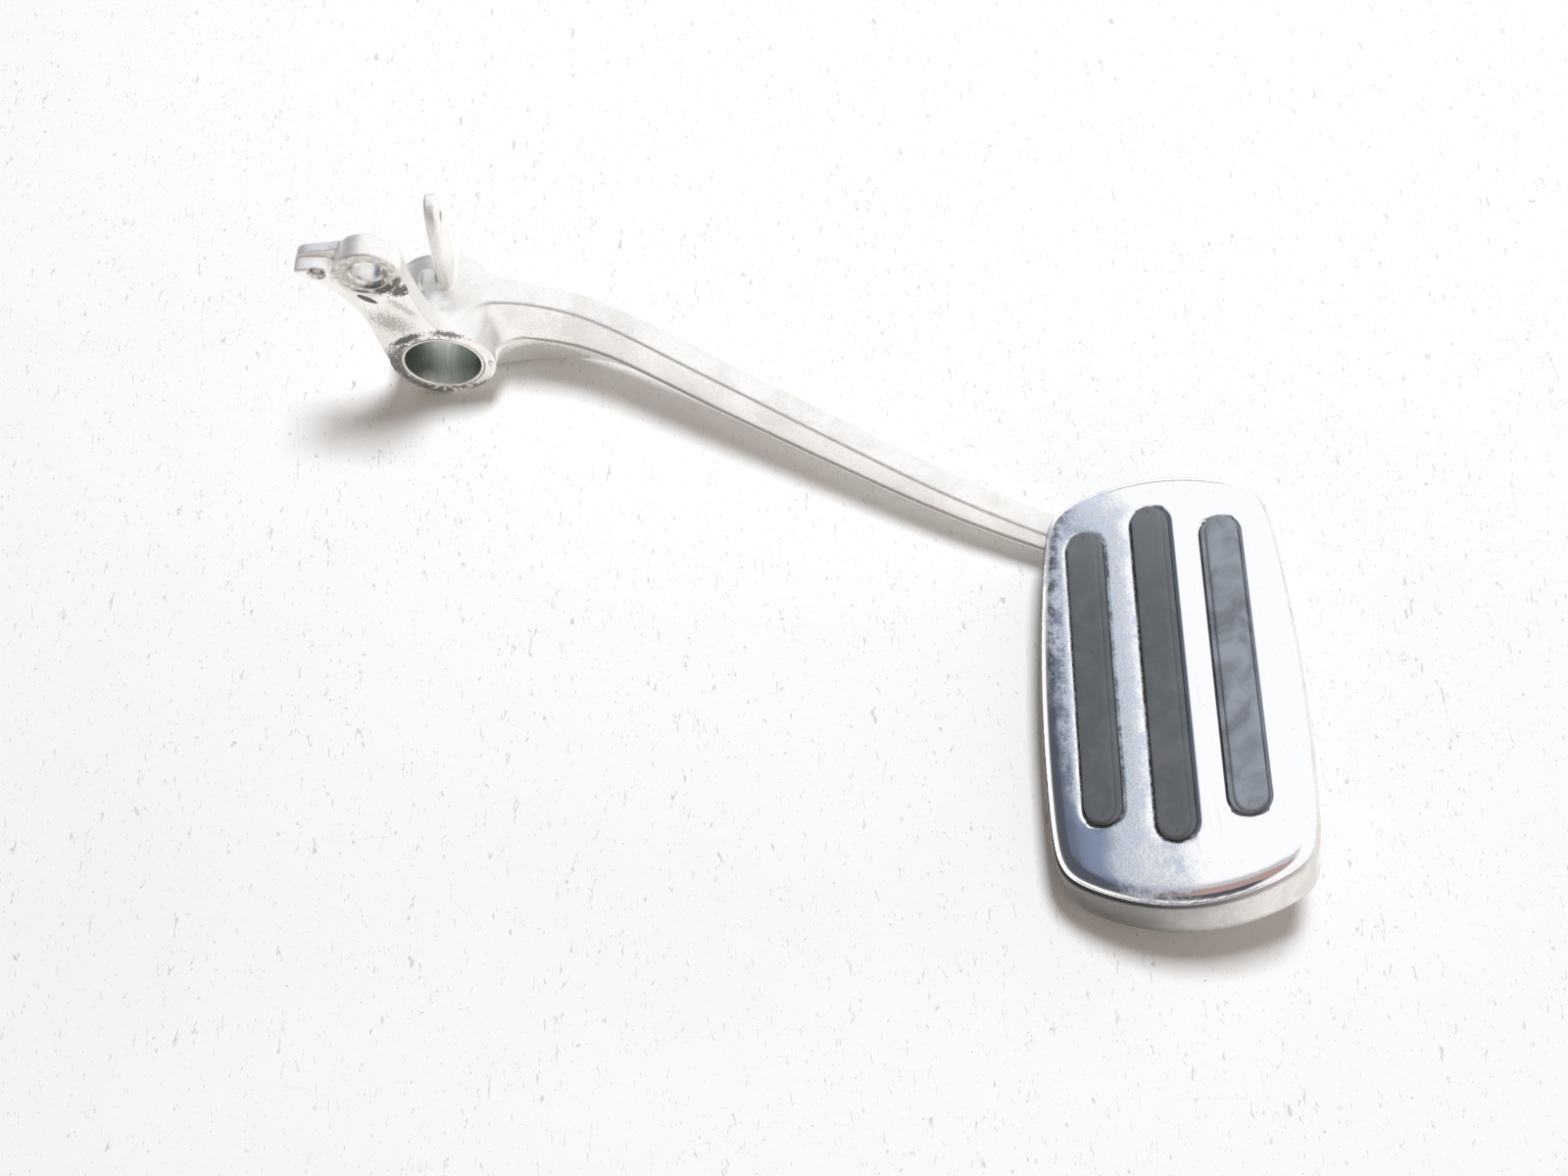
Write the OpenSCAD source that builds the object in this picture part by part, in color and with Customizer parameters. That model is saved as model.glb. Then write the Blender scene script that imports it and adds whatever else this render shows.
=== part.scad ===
// Rear brake pedal of a motorbike: one cast lever with a pivot barrel, a crank,
// a spring fin and a long curved arm, carrying a slotted bright cover over a rubber tread.
// Millimetres, +Z up. The origin is the centre of the pivot bore at the outboard barrel face.
// +Y runs along the pivot bore, away from the outboard face. +X runs toward the tread pad.

/* [Pivot barrel] */
// Outside diameter of the pivot barrel
barrel_d = 28; // [26:0.5:30]
// Length of the pivot barrel along the bore
barrel_l = 26; // [25:0.5:30]
// Inside diameter of the pivot bush, the size of the pivot shaft
bush_bore_d = 20; // [18:0.5:21]
// Wall thickness of the pressed pivot bush
bush_wall = 0.8; // [0.6:0.1:1.2]

/* [Crank] */
// Sideways place of the clevis hole from the pivot axis
clevis_x = -11.1; // [-12:0.1:-10]
// Height of the clevis hole above the pivot axis
clevis_z = 38.2; // [37:0.1:40]
// Diameter of the clevis pin hole
clevis_d = 8; // [6:0.1:8.5]
// Outside radius of the clevis boss
boss_r = 8.2; // [8:0.1:9]
// Thickness of the crank plate along the pivot axis
crank_t = 6.8; // [6.5:0.1:8]
// Width of the chamfer round the clevis hole
clevis_chamfer = 1.2; // [0.5:0.1:1.5]

/* [Spring tab] */
// Sideways place of the small hole in the tab
tab_hole_x = -23.2; // [-24:0.1:-23]
// Height of the small hole in the tab
tab_hole_z = 39.6; // [39.4:0.1:39.8]
// Diameter of the small hole in the tab
tab_hole_d = 3; // [2.5:0.1:3.2]
// Depth of the lower front ledge of the tab
ledge_depth = 4; // [3.5:0.1:4.5]
// Height of the front ledge above the pivot axis
ledge_z = 41.4; // [41.3:0.1:41.8]
// Height of the back part of the tab above the pivot axis
tab_top_z = 43.6; // [43:0.1:44.5]

/* [Spring fin] */
// Thickness of the upright fin
fin_t = 3.3; // [3:0.1:4]
// Sideways place of the fin's left face
fin_x = 0.9; // [0:0.1:1.5]
// Diameter of the hole in the fin
fin_hole_d = 3; // [2.5:0.1:3.5]
// Place of the fin hole along the pivot axis
fin_hole_y = 23; // [22.5:0.1:23.5]
// Height of the fin hole above the pivot axis
fin_hole_z = 32; // [31:0.1:33]

/* [Arm] */
// Width of the arm web
arm_w = 7.2; // [6.5:0.1:8]
// Width of the raised parting bead along the arm
bead_w = 9; // [8.6:0.1:9.6]
// Height of the parting bead
bead_t = 1.2; // [0.8:0.1:1.6]

/* [Tread pad] */
// Pad width across the strips, at the rim of the casting
pad_w = 60.7; // [58:0.1:62]
// Pad length along the strips, at the rim of the casting
pad_l = 108.8; // [106:0.1:111]
// Sideways tilt of the pad, its arm side lower
pad_tilt = 17.6; // [16.5:0.1:18]
// Depth of the cast pad base under the cover
base_depth = 14; // [13:0.1:14.2]
// Thickness of the deck under the rubber
deck_t = 4; // [3.5:0.1:4.5]
// Height of the cover from its edge to its crown
cover_rise = 4.4; // [4:0.1:4.8]
// Sheet thickness of the cover
cover_t = 1.2; // [1:0.1:1.5]

/* [Tread strips] */
// Width of one raised strip
strip_w = 8.7; // [8:0.1:9]
// Spacing of the strips
strip_pitch = 16; // [15.5:0.1:16.5]
// Length of the middle strip
strip_mid_l = 84; // [80:0.5:86]
// Length of the outer strips
strip_side_l = 74.4; // [70:0.5:76]
// Height of the strips above the cover
strip_proud = 1.8; // [1.2:0.1:2.2]
// Gap between a strip and the edge of its slot
slot_gap = 0.25; // [0.2:0.05:0.4]

/* [Cover fixing] */
// Diameter of the two studs under the cover
stud_d = 6; // [5:0.5:6]
// Width across the flats of the nuts
nut_af = 10; // [9:0.5:10]
// Height of the nuts
nut_h = 5; // [4:0.5:5]
// Clearance round the studs in the casting and the rubber
stud_gap = 0.3; // [0.2:0.1:0.5]

/* [Hidden] */
$fn = 96;
over = 0.5;
barrel_r = barrel_d / 2;
bush_r = bush_bore_d / 2 + bush_wall;
clevis_r = clevis_d / 2;
hole_r = tab_hole_d / 2;
tab_chamfer = 0.7;

// Pad frame: where the pad's far corner on the arm side meets the arm, level with the crown,
// and the pad's turn in plan and fall along its length.
joint_at = [150.77, -43.20, 3.39];
pad_turn = -2.7;
pad_fall = 0.6;
// The outline sits nearer the rider's toe than the strips do.
pad_shift = [0, -2.2];
strip_shift = -0.7;
// Outline of the pad: bulge of the sides and ends, narrowing toward the far end, squareness of the corners.
side_bulge = 3.5;
end_bulge = 9.7;
end_taper = 1.5;
corner_power = 16;
outline_steps = 120;
rim_step = 0.9;
// Heights and insets of the cover's outside, from its edge over the roll to its crown.
cover_profile = [
  [-3, 0.15], [-2, 0.9], [-1.4, 2.1], [-1.05, 4], [-0.7, 8], [-0.35, 14], [-0.02, 24]
];
// Depths and insets of the pad base's wall, from the rim under the cover down to the bottom edge.
rim_drop = 1.2;
wall_draft = 0.4;
edge_round = 1.8;
// The wall leans out at the near end by this much over its depth.
wall_lean = 2.5;
base_top = -cover_rise;
base_bottom = base_top - base_depth;
rubber_gap = 0.05;
stud_a = strip_pitch / 2 + strip_shift;
stud_b = 28;
boss_d = 13;
boss_recess = 6.5;
nut_top = base_bottom + boss_recess;
pocket_top = base_top - deck_t;
pocket_inset = 6.4;
stud_over = 0.8;
stud_end = nut_top - nut_h - stud_over;
// Where the strips' sides start inside the rubber, and the step at their top edge.
strip_foot = 3.4;
strip_step = 0.5;
step_drop = 0.3;
// Beyond everything that is cut to a shape in the other direction.
reach = 100;
// The fin's foot stands out by this much toward the crank.
foot_out = 5.4;
// Half height of the webs between arm and barrel.
web_half = 11;

// Edge of the crank and of the tab's front ledge, seen from the outboard side, without the boss.
crank_edge = [
  [-14, 0], [-14.7, 6.6], [-15, 11], [-15.3, 15], [-15.6, 19.2], [-16.3, 22], [-17.6, 26],
  [-19.2, 29.4], [-20.9, 32.2], [-22.6, 34.6], [-24.4, 36.2], [tab_hole_x - 3.1, 37.3],
  [tab_hole_x - 4.6, 38.4], [tab_hole_x - 5.3, 39.6], [tab_hole_x - 5.4, 40.9],
  [tab_hole_x - 5, ledge_z], [-17, ledge_z], [clevis_x, clevis_z],
  [clevis_x + boss_r, clevis_z - 1.5], [-2.7, 31], [-1.9, 26], [-1.2, 22], [0, 18], [1.6, 14.6],
  [5, 12.6], [6, 0]
];
// Edge of the tab's taller back part.
tab_back_edge = [
  [tab_hole_x - 3.6, 38], [tab_hole_x - 4.9, 40], [tab_hole_x - 4.8, 41.8],
  [tab_hole_x - 3.8, tab_top_z - 0.9], [tab_hole_x - 2.2, tab_top_z - 0.5],
  [-18, tab_top_z], [-14, tab_top_z + 1], [-14, 38]
];
// Edges of the fin and of its foot, seen from the pad.
fin_edge = [
  [14, 8], [14, 16], [14.6, 22], [15.4, 27], [16.8, 31.5], [18.6, 35.6], [20, 37.5], [21.8, 38.6],
  [24, 38.8], [25.7, 37.9], [barrel_l + 0.7, 36], [barrel_l + 0.9, 33], [barrel_l + 0.5, 26],
  [barrel_l, 18], [barrel_l, 8]
];
foot_edge = [[13.6, 8], [13.6, 14.6], [14.6, 15.8], [17.5, 16.2], [19.4, 15.4], [20, 13], [20, 8]];
// Plan of the webs that fair the arm into the barrel.
web_edge = [
  [0, 1], [13.6, 1], [14.4, 3.4], [16, 5.6], [18.6, 7.2], [22, 8.3], [26, 8.4], [26, 14],
  [22, 16.2], [18.4, 17.4], [16, 19.4], [14.4, 22], [13.6, barrel_l - 1], [0, barrel_l - 1]
];

// Arm in plan: points along its middle line.
arm_path = [
  [0, 12.6], [8, 12.6], [16, 12.5], [22, 12.1], [28, 11.3], [34, 10.05], [40, 8.1],
  [46, 5.4], [52, 2.3], [60, -2.3], [70, -8], [80, -13.6], [90, -19.2], [100, -24.9],
  [110, -30.4], [120, -36], [130, -41.3], [140, -46.2], [150, -50.6], [162, -55.6]
];
// Arm seen from the front: top and underside of the web.
arm_top = [[0, 14], [22, 14], [28, 13.3], [60, 9.6], [100, 5], [140, 0.4], [153, -1.1], [163, -2]];
arm_under = [
  [0, -14], [22, -14], [28, -13.4], [34, -11.8], [40, -9.8], [46, -8.3], [52, -7.4],
  [60, -6.9], [70, -7.3], [90, -7.8], [115, -8], [140, -8.3], [153, -9], [163, -9.4]
];
// Middle height of the parting bead.
bead_line = [
  [14, -0.6], [30, -1.1], [45, -1.5], [60, -2.6], [75, -4], [90, -5], [115, -6.1], [140, -7], [152, -7.6]
];

function flip(points) = [for (i = [len(points) - 1:-1:0]) points[i]];

function normal_at(path, i) =
  let (a = path[max(i - 1, 0)])
  let (b = path[min(i + 1, len(path) - 1)])
  let (d = b - a)
  [-d[1], d[0]] / norm(d);

function ribbon(path, w) = concat(
  [for (i = [0:len(path) - 1]) path[i] + normal_at(path, i) * w / 2],
  flip([for (i = [0:len(path) - 1]) path[i] - normal_at(path, i) * w / 2])
);

// Distance out to the pad outline along one direction, found by repeated scaling.
function pad_fit(p, a, b, n) =
  n == 0 ? p :
  let (at = [p[0] / a, p[1] / b])
  let (wide = a * (1 - 2 * (side_bulge * at[1] * at[1] + end_taper * at[1]) / pad_w))
  let (long = b * (1 - 2 * end_bulge * at[0] * at[0] / pad_l))
  let (f = pow(abs(p[0]) / wide, corner_power) + pow(abs(p[1]) / long, corner_power))
  pad_fit(p / pow(f, 1 / corner_power), a, b, n - 1);

// Starting direction of one outline point: the points crowd toward the corners.
function pad_ray(t) = [sign(cos(t)) * pow(abs(cos(t)), 0.4), sign(sin(t)) * pow(abs(sin(t)), 0.4)];

function pad_outline(inset) =
  let (a = pad_w / 2 - inset)
  let (b = pad_l / 2 - inset)
  [for (i = [0:outline_steps - 1])
    let (ray = 0.8 * pad_ray((i + 0.5) * 360 / outline_steps))
    pad_fit([a * ray[0], b * ray[1]], a, b, 12) + pad_shift];

module on_pad() {
  translate(joint_at) rotate([0, 0, pad_turn]) rotate([pad_fall, 0, 0]) rotate([0, -pad_tilt, 0])
    translate([pad_w / 2, -pad_l / 2, 0]) children();
}

module along_y(y0, y1) {
  translate([0, y1, 0]) rotate([90, 0, 0]) linear_extrude(y1 - y0) children();
}

module along_x(x0, x1) {
  translate([x0, 0, 0]) rotate([90, 0, 90]) linear_extrude(x1 - x0) children();
}

module pad_slice(z, inset) {
  translate([0, 0, z]) linear_extrude(0.02) polygon(pad_outline(inset));
}

// Pillow shape of the cover: its edge rolls down and its face is gently crowned.
module pillow(drop, inset) {
  hull() {
    pad_slice(base_top, rim_step + inset);
    for (p = cover_profile) pad_slice(p[0] - drop, rim_step + p[1] + inset);
  }
}

module strip_shape(l, grow) {
  r = strip_w / 2 + grow;
  for (s = [-1, 1]) translate([0, s * (l / 2 - strip_w / 2)]) circle(r);
  square([2 * r, l - strip_w], center = true);
}

module strips(grow) {
  for (k = [-1, 0, 1]) translate([strip_shift + k * strip_pitch, 0])
    strip_shape(k == 0 ? strip_mid_l : strip_side_l, grow);
}

module stud_places() {
  for (s = [-1, 1]) translate([stud_a, s * stud_b]) children();
}

// Crank and tab seen from the outboard side, without the stepped tab top.
module crank_shape() {
  translate([clevis_x, clevis_z]) circle(boss_r);
  polygon(crank_edge);
}

module crank() {
  along_y(0, crank_t) crank_shape();
  along_y(ledge_depth, crank_t) polygon(tab_back_edge);
}

module spring_fin() {
  along_x(fin_x, fin_x + fin_t) polygon(fin_edge);
  along_x(fin_x - foot_out, fin_x + fin_t) polygon(foot_edge);
}

module arm() {
  intersection() {
    translate([0, 0, -reach]) linear_extrude(2 * reach) polygon(ribbon(arm_path, arm_w));
    along_y(-reach, reach) polygon(concat(arm_top, flip(arm_under)));
  }
  intersection() {
    translate([0, 0, -reach]) linear_extrude(2 * reach) polygon(ribbon(arm_path, bead_w));
    along_y(-reach, reach) polygon(ribbon(bead_line, bead_t));
  }
}

// Webs that fair the arm into the barrel on both sides.
module arm_root() {
  translate([0, 0, -web_half]) linear_extrude(2 * web_half) polygon(web_edge);
}

module pad_base() {
  on_pad() hull() {
    pad_slice(base_top - 0.02, rim_step - 0.1);
    pad_slice(base_top - rim_drop, 0);
    translate([0, -wall_lean, 0]) {
      pad_slice(base_bottom + edge_round, wall_draft);
      pad_slice(base_bottom + edge_round / 3, wall_draft + edge_round / 3);
      pad_slice(base_bottom, wall_draft + edge_round);
    }
  }
}

// Plain hollow in the underside of the pad base, with a boss round each stud.
module pad_pocket() {
  difference() {
    translate([0, -wall_lean / 2, base_bottom - over]) linear_extrude(pocket_top - base_bottom + over)
      polygon(pad_outline(pocket_inset));
    stud_places() translate([0, 0, nut_top]) cylinder(h = base_depth, d = boss_d);
  }
}

module lever() {
  color([0.80, 0.80, 0.79]) difference() {
    union() {
      along_y(0, barrel_l) circle(barrel_r);
      crank();
      spring_fin();
      arm();
      arm_root();
      pad_base();
    }
    on_pad() pad_pocket();
    along_y(-over, barrel_l + over) circle(bush_r);
    along_y(-over, crank_t + over) translate([clevis_x, clevis_z]) circle(clevis_r);
    translate([clevis_x, 0, clevis_z]) rotate([-90, 0, 0]) translate([0, 0, -0.01])
      cylinder(h = clevis_chamfer, r1 = clevis_r + clevis_chamfer, r2 = clevis_r);
    along_y(-over, crank_t + over) translate([tab_hole_x, tab_hole_z]) circle(hole_r, $fn = 48);
    translate([tab_hole_x, 0, tab_hole_z]) rotate([-90, 0, 0]) translate([0, 0, -0.01])
      cylinder(h = tab_chamfer, r1 = hole_r + tab_chamfer, r2 = hole_r, $fn = 48);
    along_x(fin_x - over, fin_x + fin_t + over) translate([fin_hole_y, fin_hole_z])
      circle(fin_hole_d / 2, $fn = 48);
    on_pad() stud_places() translate([0, 0, base_bottom - over])
      cylinder(h = base_depth + 2 * over, d = stud_d + 2 * stud_gap);
  }
}

module pivot_bush() {
  color([0.45, 0.47, 0.45]) along_y(0, barrel_l) difference() {
    circle(bush_r);
    circle(bush_bore_d / 2);
  }
}

module pad_cover() {
  color([0.85, 0.87, 0.90]) on_pad() {
    difference() {
      pillow(0, 0);
      translate([0, 0, -0.02]) pillow(cover_t, cover_t);
      translate([0, 0, -cover_rise - 2]) linear_extrude(cover_rise + 4) strips(slot_gap);
    }
    stud_places() translate([0, 0, stud_end]) cylinder(h = -stud_end - cover_t, d = stud_d);
  }
}

module pad_rubber() {
  color([0.20, 0.21, 0.22]) on_pad() difference() {
    union() {
      pillow(cover_t + rubber_gap, cover_t + rubber_gap);
      translate([0, 0, -strip_foot]) linear_extrude(strip_foot + strip_proud - strip_step) strips(0);
      translate([0, 0, -strip_foot]) linear_extrude(strip_foot + strip_proud - strip_step + step_drop)
        strips(-strip_step);
    }
    stud_places() translate([0, 0, base_top - over]) cylinder(h = 3 * cover_rise, d = stud_d + 2 * stud_gap);
  }
}

module stud_nut(s) {
  color([0.70, 0.70, 0.68]) on_pad() translate([stud_a, s * stud_b, nut_top - nut_h]) difference() {
    cylinder(h = nut_h, d = nut_af / cos(30), $fn = 6);
    translate([0, 0, -over]) cylinder(h = nut_h + 2 * over, d = stud_d);
  }
}

module far_nut() {
  stud_nut(1);
}

module near_nut() {
  stud_nut(-1);
}

lever();
pivot_bush();
pad_cover();
pad_rubber();
far_nut();
near_nut();
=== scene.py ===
"""Looks of a motorbike's rear brake pedal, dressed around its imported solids.

Lengths in the classes are millimetres in the part's own frame: the origin is the centre
of the pivot bore at the outboard face, +X runs to the tread pad, +Y along the bore, +Z up.
"""
import sys
import logging
import math
from dataclasses import dataclass, field
from enum import Enum

import bmesh
import bpy
import numpy as np
from mathutils import Matrix

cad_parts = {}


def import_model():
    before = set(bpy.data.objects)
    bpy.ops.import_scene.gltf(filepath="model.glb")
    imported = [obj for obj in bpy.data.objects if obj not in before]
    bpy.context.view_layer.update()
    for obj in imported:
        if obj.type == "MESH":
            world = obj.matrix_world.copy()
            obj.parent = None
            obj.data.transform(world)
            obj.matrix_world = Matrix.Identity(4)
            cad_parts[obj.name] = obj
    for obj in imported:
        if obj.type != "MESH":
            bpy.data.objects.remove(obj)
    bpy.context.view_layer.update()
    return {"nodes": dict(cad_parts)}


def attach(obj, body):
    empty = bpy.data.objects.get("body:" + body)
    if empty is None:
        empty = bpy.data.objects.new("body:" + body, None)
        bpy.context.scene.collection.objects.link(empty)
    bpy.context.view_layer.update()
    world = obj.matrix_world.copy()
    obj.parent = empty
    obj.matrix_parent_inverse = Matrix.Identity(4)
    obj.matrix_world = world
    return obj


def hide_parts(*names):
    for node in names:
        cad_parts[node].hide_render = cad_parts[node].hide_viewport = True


Array, Obj, Socket, Material = np.ndarray, bpy.types.Object, bpy.types.NodeSocket, bpy.types.Material
Pair = tuple[float, float]
Pairs = tuple[Pair, ...]
Vec = tuple[float, float, float]

LOG = logging.getLogger("pedal")
MM = 0.001
WELD_M, SLIVER_M = 2e-6, 1e-7


def grid_faces(rows: int, cols: int, wrap_rows: bool, wrap_cols: bool) -> list[list[int]]:
    """Quads of a grid of points stored row by row.

    Args:
        rows: number of rows.
        cols: number of columns.
        wrap_rows: join the last row to the first.
        wrap_cols: join the last column to the first.

    Returns:
        Four indices per quad.
    """
    last_row, last_col = (rows if wrap_rows else rows - 1), (cols if wrap_cols else cols - 1)
    i, j = (k.ravel() for k in np.meshgrid(np.arange(last_row), np.arange(last_col), indexing="ij"))
    i2, j2 = (i + 1) % rows, (j + 1) % cols
    return np.stack([i * cols + j, i * cols + j2, i2 * cols + j2, i2 * cols + j], 1).tolist()


def mesh_object(name: str, points: Array, faces: list[list[int]], weld: bool = True) -> Obj:
    """Makes a smooth-shaded object at the origin, unturned and unscaled.

    Args:
        name: the piece's name.
        points: (..., 3) points in millimetres, in the part's frame.
        faces: lists of indices.
        weld: merge points that coincide, so that poles and seams close, and turn faces outward.

    Returns:
        The linked object.
    """
    mesh = bpy.data.meshes.new(name)
    mesh.from_pydata((points.reshape(-1, 3) * MM).tolist(), [], faces)
    obj = bpy.data.objects.new(name, mesh)
    bpy.context.scene.collection.objects.link(obj)
    if weld:
        bm = bmesh.new()
        bm.from_mesh(mesh)
        bmesh.ops.remove_doubles(bm, verts=bm.verts, dist=WELD_M)
        bmesh.ops.dissolve_degenerate(bm, edges=bm.edges, dist=SLIVER_M)
        bmesh.ops.recalc_face_normals(bm, faces=bm.faces)
        bm.to_mesh(mesh)
        bm.free()
    mesh.shade_smooth()
    return obj


def grid_object(
    name: str, grid: Array, wrap_rows: bool = False, wrap_cols: bool = False, caps: bool = False
) -> Obj:
    """Makes an object from a grid of points in millimetres.

    Args:
        name: the piece's name.
        grid: (rows, cols, 3) points of the surface.
        wrap_rows: join the last row to the first.
        wrap_cols: join the last column to the first.
        caps: close the first and the last row with one face each.

    Returns:
        The linked object.
    """
    rows, cols = grid.shape[:2]
    faces = grid_faces(rows, cols, wrap_rows, wrap_cols)
    if caps:
        faces += [list(range(cols))[::-1], list(range((rows - 1) * cols, rows * cols))]
    return mesh_object(name, grid, faces)


def resample(path: Array | Pairs, count: int) -> Array:
    """Points at equal steps of length along a polyline.

    Args:
        path: (n, k) points.
        count: number of points wanted.

    Returns:
        (count, k) points.
    """
    path = np.asarray(path, float)
    step = np.concatenate([[0], np.cumsum(np.linalg.norm(np.diff(path, axis=0), axis=1))])
    at = np.linspace(0, step[-1], count)
    return np.stack([np.interp(at, step, column) for column in path.T], 1)


def smooth_closed(points: Array | list[Pair], count: int, passes: int) -> Array:
    """Rounds a closed outline and spaces its points evenly.

    Corner cutting: each side is replaced by its points at one quarter and three quarters.
    Then the points are resampled at equal steps along the outline.

    Args:
        points: (n, 2) corners.
        count: number of points wanted.
        passes: how often the corners are cut.

    Returns:
        (count, 2) outline.
    """
    p = np.asarray(points, float)
    for _ in range(passes):
        q = np.roll(p, -1, 0)
        p = np.stack([0.75 * p + 0.25 * q, 0.25 * p + 0.75 * q], 1).reshape(-1, 2)
    return resample(np.vstack([p, p[:1]]), count + 1)[:-1]


def averaged(p: Array, rounds: int) -> Array:
    """Averages each value with its neighbours, a quarter each, over and over; both ends are held.

    Args:
        p: values or points in a row, changed in place.
        rounds: averaging rounds.

    Returns:
        The same array.
    """
    for _ in range(rounds):
        p[1:-1] = 0.25 * p[:-2] + 0.5 * p[1:-1] + 0.25 * p[2:]
    return p


def smooth_open(path: Array | Pairs, count: int, rounds: int) -> Array:
    """Evenly spaced points on an open path whose kinks are averaged away, ends held."""
    return averaged(resample(path, count), rounds)


def left_of(path: Array) -> Array:
    """Unit normals to the left of an open path.

    Args:
        path: (n, 2) points.

    Returns:
        (n, 2) normals.
    """
    d = np.gradient(path, axis=0)
    d /= np.linalg.norm(d, axis=1, keepdims=True)
    return np.stack([-d[:, 1], d[:, 0]], 1)


def outline_normals(outline: Array) -> Array:
    """Outward unit normals of a closed outline.

    Args:
        outline: (n, 2) points, anticlockwise or clockwise.

    Returns:
        (n, 2) normals.
    """
    after = np.roll(outline, -1, 0)
    d = after - np.roll(outline, 1, 0)
    n = np.stack([d[:, 1], -d[:, 0]], 1) / np.maximum(np.linalg.norm(d, axis=1, keepdims=True), 1e-9)
    area = np.sum(outline[:, 0] * after[:, 1] - after[:, 0] * outline[:, 1])
    return n if area > 0 else -n


def rounded_slab(
    name: str, outline: Array, low: float, high: float, edge: float, axes: tuple[int, int, int]
) -> Obj:
    """A plate of one outline with quarter-round edges.

    Ring k of each edge lies in from the outline by edge*(1 - cos a) and out of the face's
    plane by edge*(1 - sin a), for a from 0 to 90 degrees. The flat faces are single polygons.

    Args:
        name: the piece's name.
        outline: (n, 2) points.
        low: lower coordinate along the thickness.
        high: higher coordinate along the thickness.
        edge: radius of the rounded edges.
        axes: which coordinates hold the outline's first, its second, and the thickness.

    Returns:
        The linked object.
    """
    a = np.radians(np.linspace(0, 90, 6))
    aside, under = edge * (1 - np.cos(a)), edge * (1 - np.sin(a))
    inset = np.concatenate([aside[::-1], aside])
    rings = outline[None] - outline_normals(outline)[None] * inset[:, None, None]
    grid = np.zeros((len(inset), len(outline), 3))
    grid[..., axes[0]], grid[..., axes[1]] = rings[..., 0], rings[..., 1]
    grid[..., axes[2]] = np.concatenate([low + under[::-1], high - under])[:, None]
    return grid_object(name, grid, wrap_cols=True, caps=True)


def turned(profile: Array | list[Pair], centre: Vec, steps: int, along: int = 1) -> Array:
    """Grid of a profile turned about a line parallel to one axis.

    Point (r, t) of the profile goes to radius r from the line at distance t along it.

    Args:
        profile: (n, 2) radii and distances.
        centre: a point of the line.
        steps: points round the circle.
        along: the axis that the line follows, 0, 1 or 2.

    Returns:
        (n, steps, 3) grid.
    """
    profile = np.asarray(profile, float)
    a = np.linspace(0, 2 * np.pi, steps, endpoint=False)
    u, v = [k for k in range(3) if k != along]
    grid = np.zeros((len(profile), steps, 3))
    grid[..., u] = centre[u] + profile[:, :1] * np.cos(a)
    grid[..., v] = centre[v] + profile[:, :1] * np.sin(a)
    grid[..., along] = centre[along] + profile[:, 1:]
    return grid


def join(objects: list[Obj], name: str) -> Obj:
    """Joins objects into one mesh.

    Args:
        objects: what to join.
        name: the result's name.

    Returns:
        The joined object.
    """
    bpy.ops.object.select_all(action="DESELECT")
    for o in objects:
        o.select_set(True)
    bpy.context.view_layer.objects.active = objects[0]
    bpy.ops.object.join()
    objects[0].name = objects[0].data.name = name
    return objects[0]


def apply_modifiers(obj: Obj) -> None:
    """Replaces an object's mesh by what its modifiers make of it.

    Args:
        obj: the object.
    """
    mesh = bpy.data.meshes.new_from_object(obj.evaluated_get(bpy.context.evaluated_depsgraph_get()))
    old = obj.data
    obj.modifiers.clear()
    obj.data = mesh
    bpy.data.meshes.remove(old)
    mesh.name = obj.name


def relax(obj: Obj, rounds: int, centre: Vec | None = None, radius: float = 1.0) -> None:
    """Smooths a mesh without shrinking it, all over or round one point.

    Each round moves every point half way to the mean of its neighbours, and then back by a little
    more. Round a point the move fades out with the square of the distance, and isn't taken back,
    so that edges there melt into a blend.

    Args:
        obj: the object whose mesh is smoothed.
        rounds: number of rounds.
        centre: the point, in millimetres.
        radius: how far from it the smoothing reaches, in millimetres.
    """
    mesh = obj.data
    co = np.zeros(len(mesh.vertices) * 3)
    mesh.vertices.foreach_get("co", co)
    co = co.reshape(-1, 3)
    edges = np.zeros(len(mesh.edges) * 2, int)
    mesh.edges.foreach_get("vertices", edges)
    a, b = edges.reshape(-1, 2).T
    count = np.bincount(np.concatenate([a, b]), minlength=len(co))[:, None]
    weight, moves = 1.0, (0.5, -0.51)
    if centre is not None:
        away = np.linalg.norm(co - np.array(centre) * MM, axis=1, keepdims=True) / (radius * MM)
        weight, moves = np.clip(1 - away ** 2, 0, 1), (0.5, 0.5)
    for move in moves * rounds:
        total = np.stack([np.bincount(a, c[b], len(co)) + np.bincount(b, c[a], len(co)) for c in co.T], 1)
        co = co + weight * move * (total / count - co)
    mesh.vertices.foreach_set("co", co.ravel())
    mesh.update()


def cut(obj: Obj, cutters: list[Obj]) -> None:
    """Takes closed cutters out of an object and removes them.

    Args:
        obj: what is cut.
        cutters: the closed shapes taken out.
    """
    for c in cutters:
        m = obj.modifiers.new("cut", "BOOLEAN")
        m.operation, m.solver, m.object = "DIFFERENCE", "EXACT", c
    apply_modifiers(obj)
    for c in cutters:
        bpy.data.objects.remove(c)


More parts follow.
